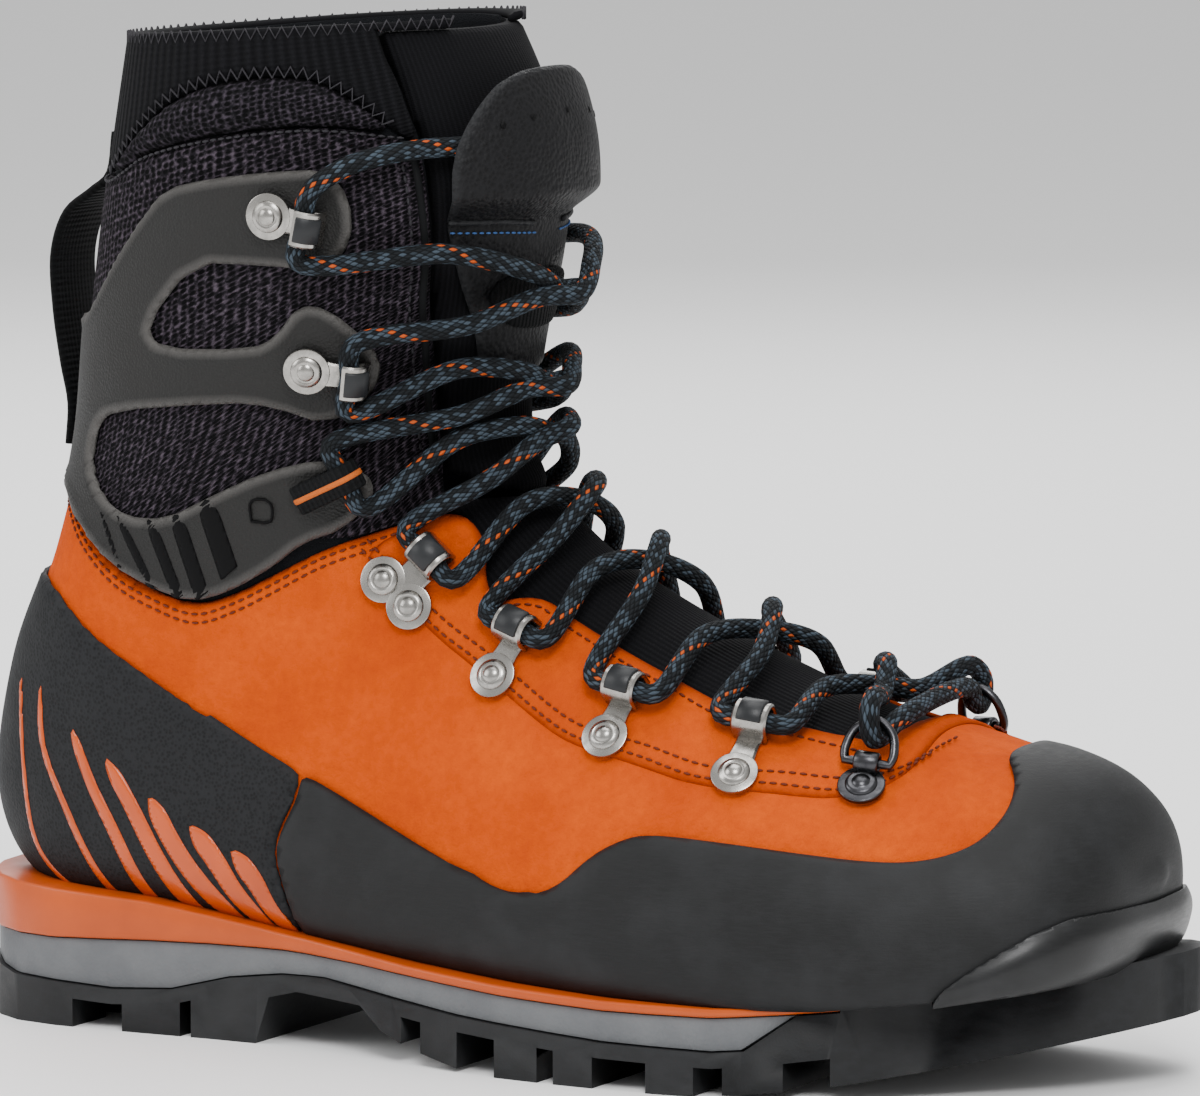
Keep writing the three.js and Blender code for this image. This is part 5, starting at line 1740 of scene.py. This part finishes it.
    def guide(self, spot: Spot, side: Side, tail: str) -> None:
        """One guide or hook, with its insert.

        Args:
            spot: Where it sits.
            side: Which side of the boot.
            tail: The side's name in its pieces' names.
        """
        seat = spot.seat(side)
        *_, reach = seat.frame()
        node = f"{spot.name.lower()}_{tail}"
        rivets = (-self.lock_rivets, self.lock_rivets) if spot is Spot.LOCK_GUIDE else (0.0,)
        radius = HOOP_INNER + METAL / 2
        top = math.pi * 0.62 if spot.hook else math.pi
        bm = self.arch(spot, seat, radius, 0, top, GUIDE_WIDTH, METAL, True)
        self.plate(bm, seat, rivets, reach + HOOP_INNER, spot.lift)
        right_way_out(bm)
        made = finish_mesh(bm, f"{node}_stamped")
        made.data.set_sharp_from_angle(angle=math.radians(40))
        settle(made, NICKEL, stands_for=[node])
        low, high = (0.2, 1.7) if spot.hook else (0.55, 2.3)
        pad = self.arch(spot, seat, radius + METAL / 2 + 0.15, low, high, 6.0, 0.8, False)
        right_way_out(pad)
        settle(finish_mesh(pad, f"{node}_insert"), INSERT,
               stands_for=[f"{spot.name.lower()}_pad_{tail}"])

    def ring(self, side: Side, tail: str) -> None:
        """The D-shaped ring at the toe and the clip that it swings in.

        Args:
            side: Which side of the boot.
            tail: The side's name in its pieces' names.
        """
        seat = Spot.RING.seat(side)
        _, first, second, out, _ = seat.frame()
        turn = np.stack([first, second, out])
        bm = bmesh.new()
        self.plate(bm, seat, (0.0,), RING_BAR - 1.2, HARDWARE_LIFT)
        angle = np.linspace(0, math.tau, 25)[:-1]
        bend = np.stack([np.cos(angle), 0 * angle, np.sin(angle)], 1)
        middle = self.wire + GAP + METAL / 2
        sleeve = seat.stand(bend * middle + [0, 0, RING_LIFT], RING_BAR)
        sweep(bm, sleeve, bend @ turn, strap_ring(self.ring_half, METAL), loop=True)
        right_way_out(bm)
        settle(finish_mesh(bm, f"ring_clip_{tail}_rolled"), DARK_NICKEL,
               stands_for=[f"ring_clip_{tail}"])
        w = self.ring_half
        bow = smooth_path([(0, w - 0.4), (3, w), (7.6, w * 0.76), (self.ring_length, 0), (7.6, -w * 0.76),
                           (3, -w), (0, 0.4 - w)], 1.0)
        bar = np.stack([np.zeros(5), np.linspace(0.4 - w, w - 0.4, 7)[1:-1]], 1)
        flat = np.vstack([bow, bar])
        tilt = math.radians(self.ring_tilt)
        local = np.stack([flat[:, 0] * math.cos(tilt), flat[:, 1],
                          flat[:, 0] * math.sin(tilt) + RING_LIFT], 1)
        up = np.array([[-math.sin(tilt), 0, math.cos(tilt)]]) @ turn
        bm = bmesh.new()
        sweep(bm, seat.stand(local, RING_BAR), np.tile(up, (len(local), 1)),
              circle_ring(self.wire, 12), loop=True)
        right_way_out(bm)
        settle(finish_mesh(bm, f"ring_{tail}_bent"), DARK_NICKEL, f"ring_{tail}",
               [f"ring_{tail}"])


@dataclass
class Straps:
    """The rear pull loop and the webbing loops at the ankle."""

    width: float = 20.0
    wall: float = 1.9
    webbing: float = 1.1
    webbing_width: float = 7.0
    path: tuple[Pair, ...] = ((-5.2, 214), (-6.8, 204), (-12, 199.5), (-19, 194), (-22.5, 184), (-22, 171),
                              (-20, 158), (-18, 148), (-18.6, 138))

    def build(self) -> None:
        """Builds and dresses the straps."""
        line = smooth_path(self.path, 2.0)
        centre = np.stack([line[:, 0], 0 * line[:, 0], line[:, 1]], 1)
        ahead = np.gradient(centre, axis=0)
        ups = np.cross(ahead, np.array([0, 1.0, 0]))
        bm = bmesh.new()
        sweep(bm, centre, ups, strap_ring(self.width, self.wall), uv_step=2 * self.width)
        right_way_out(bm)
        settle(finish_mesh(bm, "pull_loop_woven"), WEBBING, stands_for=["rear_pull_loop"])
        for side in Side:
            self.loop(side)

    def loop(self, side: Side) -> None:
        """One webbing loop, with the stripe along its middle.

        Args:
            side: Which side of the boot.
        """
        seat = Spot.WEB_LOOP.seat(side)
        _, first, second, out, reach = seat.frame()
        turn = np.stack([first, second, out])
        middle = LACE_RADIUS + GAP + self.webbing / 2
        angle = np.linspace(-2.0, 2.0, 26)
        bend = np.stack([reach + middle * np.cos(angle), 0 * angle,
                         WEB_LIFT + middle * np.sin(angle)], 1)
        start = np.array([[-0.6, 0, 0.8], [0, 0, 2.2], [3, 0, 3.2]])
        end = np.array([[3, 0, 5.4], [0.4, 0, 4.6], [-0.4, 0, 3.2]])
        local = smooth_path(np.vstack([start, bend[::3], end]).tolist(), 1.0)
        ahead = np.gradient(local, axis=0)
        ups = np.cross(np.array([0, 1.0, 0]), ahead)
        tail = side.name.lower()
        for name, look, width, wall in (
            (f"web_loop_{tail}_woven", WEBBING, self.webbing_width, self.webbing),
            (f"web_loop_{tail}_stripe", WEBBING_TRIM, 1.4, self.webbing + 0.5),
        ):
            bm = bmesh.new()
            sweep(bm, seat.stand(local, 0), ups @ turn, strap_ring(width, wall), uv_step=2 * width)
            right_way_out(bm)
            swept = finish_mesh(bm, name)
            settle(swept, look, stands_for=[f"web_loop_{tail}"] if look is WEBBING else [])


@dataclass
class Lace:
    """One long braided lace, from its knot behind the shield round every guide and back."""

    low: float = LACE_RADIUS + 0.6
    high_over: float = 8.4
    tongue_clear: float = 1.8
    cross_x: tuple[float, ...] = (191, 161, 131, 113)
    cross_z: tuple[float, ...] = (145, 158, 181)

    def crossings(self) -> list[float]:
        """Places along the ridge where two runs cross, from the toe up."""
        t = np.linspace(0, 1, 4001)
        ridge = LAST.point(t, np.full(len(t), 0.5))
        found = [t[np.nonzero(ridge[:, 0] > x)[0].max()] for x in self.cross_x]
        return [*found, *(t[np.nonzero(ridge[:, 2] < z)[0].max()] for z in self.cross_z)]

    def through(self, spot: Spot, side: Side) -> np.ndarray:
        """The lace's points through one guide.

        Args:
            spot: The guide.
            side: Which side of the boot.

        Returns:
            The points, from the guide's toe end to its top end.
        """
        seat = spot.seat(side)
        _, first, second, out, reach = seat.frame()
        onward = second * -side.value
        if spot is Spot.RING:
            b = RING_BAR
            stops = [(b + 15, 3, self.low), (b + 10, 1.5, self.low + 0.4),
                     (b + 5.4, 0, RING_LIFT + LACE_RADIUS), (b + 7.5, -1, RING_LIFT + 8),
                     (b + 13, -1.5, RING_LIFT + 7.6)]
            base = seat.lay(np.array([[0, 0, 0.0]]))[0]
            return np.array([base + out * c + first * a - onward * s for a, s, c in stops])
        past = GUIDE_WIDTH / 2 + LACE_RADIUS + 1.5
        ends = np.array([-past, 0, past])[:, None]
        if spot is Spot.WEB_LOOP:
            base = seat.lay(np.array([[0, 0, 0.0]]))[0]
            return base + onward * ends + out * WEB_LIFT + first * reach
        base = seat.lay(np.array([[reach, 0, 0.0]]))[0]
        return base + onward * ends + out * lace_lift(spot.lift)

    def cross(self, level_index: int, side: Side, over: bool, t: float) -> np.ndarray:
        """The run from one level's guide to the next level's on the other side.

        Args:
            level_index: The lower level's number.
            side: The side that it starts on.
            over: Whether it passes over the other run.
            t: Where the two runs cross, along the ridge.

        Returns:
            The run's points.
        """
        spots = list(Spot)
        other = Side(-side.value)
        ends = []
        for spot, where in ((spots[level_index], side), (spots[level_index + 1], other)):
            st, su = LAST.seat([spot.value[1][0]], [spot.value[1][1]], where)
            ends.append((st[0], su[0]))
        high = self.tongue_clear if level_index > 3 else 0
        lift = self.low + high + (LACE_RADIUS if over else 1)
        shares = [(0, 0.55), (None, 0), (1, 0.55)]
        if high:
            shares = [(0, 0.45), (0, 0.8), (None, 0), (1, 0.8), (1, 0.45)]
        places = []
        for end, f in shares:
            if end is None:
                places.append((t, 0.5, (self.high_over if over else self.low) + high))
            else:
                et, eu = ends[end]
                places.append((et + (t - et) * f, eu + (0.5 - eu) * f, lift))
        ts, us, lifts = np.array(places).T
        return raised(ts, us, lifts)

    def strand(self, start: Side) -> np.ndarray:
        """Half the lace, from the toe to the knot.

        Args:
            start: The side that it starts on.

        Returns:
            Its points.
        """
        side, parts = start, []
        crossings = self.crossings()
        for i, spot in enumerate(Spot):
            parts.append(self.through(spot, side))
            if i < len(Spot) - 1:
                over = (i % 2 == 0) == (start is Side.OUTER)
                parts.append(self.cross(i, side, over, crossings[i]))
                side = Side(-side.value)
        t, u = LAST.seat([77, 85, 91.5, 99], [211, 213.5, 214.5, 215], side)
        parts.append(raised(t, u, np.array([6, 4.6, 2.9, 2])))
        parts.append(raised(t[-1:], np.array([0.5 + side.value * 0.018]), 2))
        return np.vstack(parts)

    def build(self) -> None:
        """Sweeps the lace and dresses it."""
        route = np.vstack([self.strand(Side.OUTER)[::-1], self.strand(Side.INNER)])
        path = even_steps(centripetal(route), 1.6)
        bm = bmesh.new()
        ring = circle_ring(LACE_RADIUS, 14)
        sweep(bm, path, carried(path), ring, uv_step=math.tau * LACE_RADIUS)
        right_way_out(bm)
        settle(finish_mesh(bm, "lace_braided"), LACE_BRAID, stands_for=["lace"])


def centripetal(points: np.ndarray, samples: int = 10) -> np.ndarray:
    """A centripetal spline through points: it makes no loops where they are close.

    Args:
        points: The places it goes through.
        samples: How many samples each span gets.

    Returns:
        The samples.
    """
    ends = np.vstack([2 * points[0] - points[1], points, 2 * points[-1] - points[-2]])
    spans = []
    for i in range(len(points) - 1):
        p = ends[i : i + 4]
        gaps = np.maximum(np.linalg.norm(np.diff(p, axis=0), axis=1) ** 0.5, 1e-4)
        a, b, c = gaps
        m1 = ((p[1] - p[0]) / a - (p[2] - p[0]) / (a + b) + (p[2] - p[1]) / b) * b
        m2 = ((p[2] - p[1]) / b - (p[3] - p[1]) / (b + c) + (p[3] - p[2]) / c) * b
        f = np.linspace(0, 1, samples, endpoint=False)[:, None]
        spans.append((2 * f**3 - 3 * f**2 + 1) * p[1] + (f**3 - 2 * f**2 + f) * m1
                     + (3 * f**2 - 2 * f**3) * p[2] + (f**3 - f**2) * m2)
    return np.vstack([*spans, points[-1:]])


def carried(path: np.ndarray) -> np.ndarray:
    """One direction square to a path, carried along it without twist.

    Args:
        path: The path's points.

    Returns:
        The direction at each point.
    """
    ahead = np.gradient(path, axis=0)
    ahead /= np.linalg.norm(ahead, axis=1)[:, None]
    up = np.cross(ahead[0], [0.3, 0.2, 1.0])
    ups = []
    for a in ahead:
        up = up - a * up.dot(a)
        up = up / np.linalg.norm(up)
        ups.append(up)
    return np.array(ups)


# ---------------------------------------------------------------- the studio


LAMPS = (  # each lamp's name, place, width in metres and power in watts
    ("key", (0.9, -1.3, 1.5), 0.8, 32),
    ("fill", (-1.2, -1.0, 0.9), 1.0, 12),
    ("top", (0.1, 0.2, 1.9), 1.4, 22),
    ("back", (-0.6, 1.4, 1.1), 1.0, 12),
)


@dataclass
class Studio:
    """A plain pale floor, soft light and the camera."""

    azimuth: float = 27.0
    elevation: float = 6.5
    distance: float = 2.2
    lens: float = 278.4

    def build(self) -> None:
        """Builds the stage."""
        bm = bmesh.new()
        bmesh.ops.create_grid(bm, x_segments=2, y_segments=2, size=6000)
        floor = finish_mesh(bm, "studio_floor")
        dress(floor, Thread("painted_floor_matt", "ffffff", "fbfbfb", 0.9, bump=0.01, depth=0.00001))
        world = bpy.data.worlds.new("soft_box")
        bpy.context.scene.world = world
        world.use_nodes = True
        world.node_tree.nodes["Background"].inputs[0].default_value = (1, 1, 1, 1)
        world.node_tree.nodes["Background"].inputs[1].default_value = 0.75
        for name, place, size, power in LAMPS:
            light = bpy.data.lights.new(f"lamp_{name}", "AREA")
            light.size, light.energy = size, power
            lamp = bpy.data.objects.new(f"lamp_{name}", light)
            lamp.location = place
            lamp.rotation_euler = (Vector((0.1, 0, 0.11)) - Vector(place)).to_track_quat("-Z", "Y").to_euler()
            bpy.context.scene.collection.objects.link(lamp)
        self.camera()

    def camera(self) -> None:
        """Places the camera in front of the outer side."""
        a, e = math.radians(self.azimuth), math.radians(self.elevation)
        back = Vector((math.sin(a) * math.cos(e), -math.cos(a) * math.cos(e), math.sin(e)))
        right = Vector((math.cos(a), math.sin(a), 0))
        up = back.cross(right)
        target = Vector((0.115, 0, 0.115)) + right * 0.00552 + up * 0.00344
        data = bpy.data.cameras.new("camera")
        data.lens, data.sensor_width = self.lens, 36
        data.clip_end = 20
        made = bpy.data.objects.new("camera", data)
        made.location = target + back * self.distance
        made.rotation_euler = (-back).to_track_quat("-Z", "Y").to_euler()
        bpy.context.scene.collection.objects.link(made)
        bpy.context.scene.camera = made


def main() -> None:
    """Builds every sub-assembly in order, then the studio."""
    logging.basicConfig(level=logging.INFO, format="%(name)s: %(message)s")
    for part in (Sole(), Upper(), AnkleFrame(), Tongue(), Rubber(), Straps(), Hardware(), Lace(), Studio()):
        part.build()


if __name__ == "__main__":
    main()
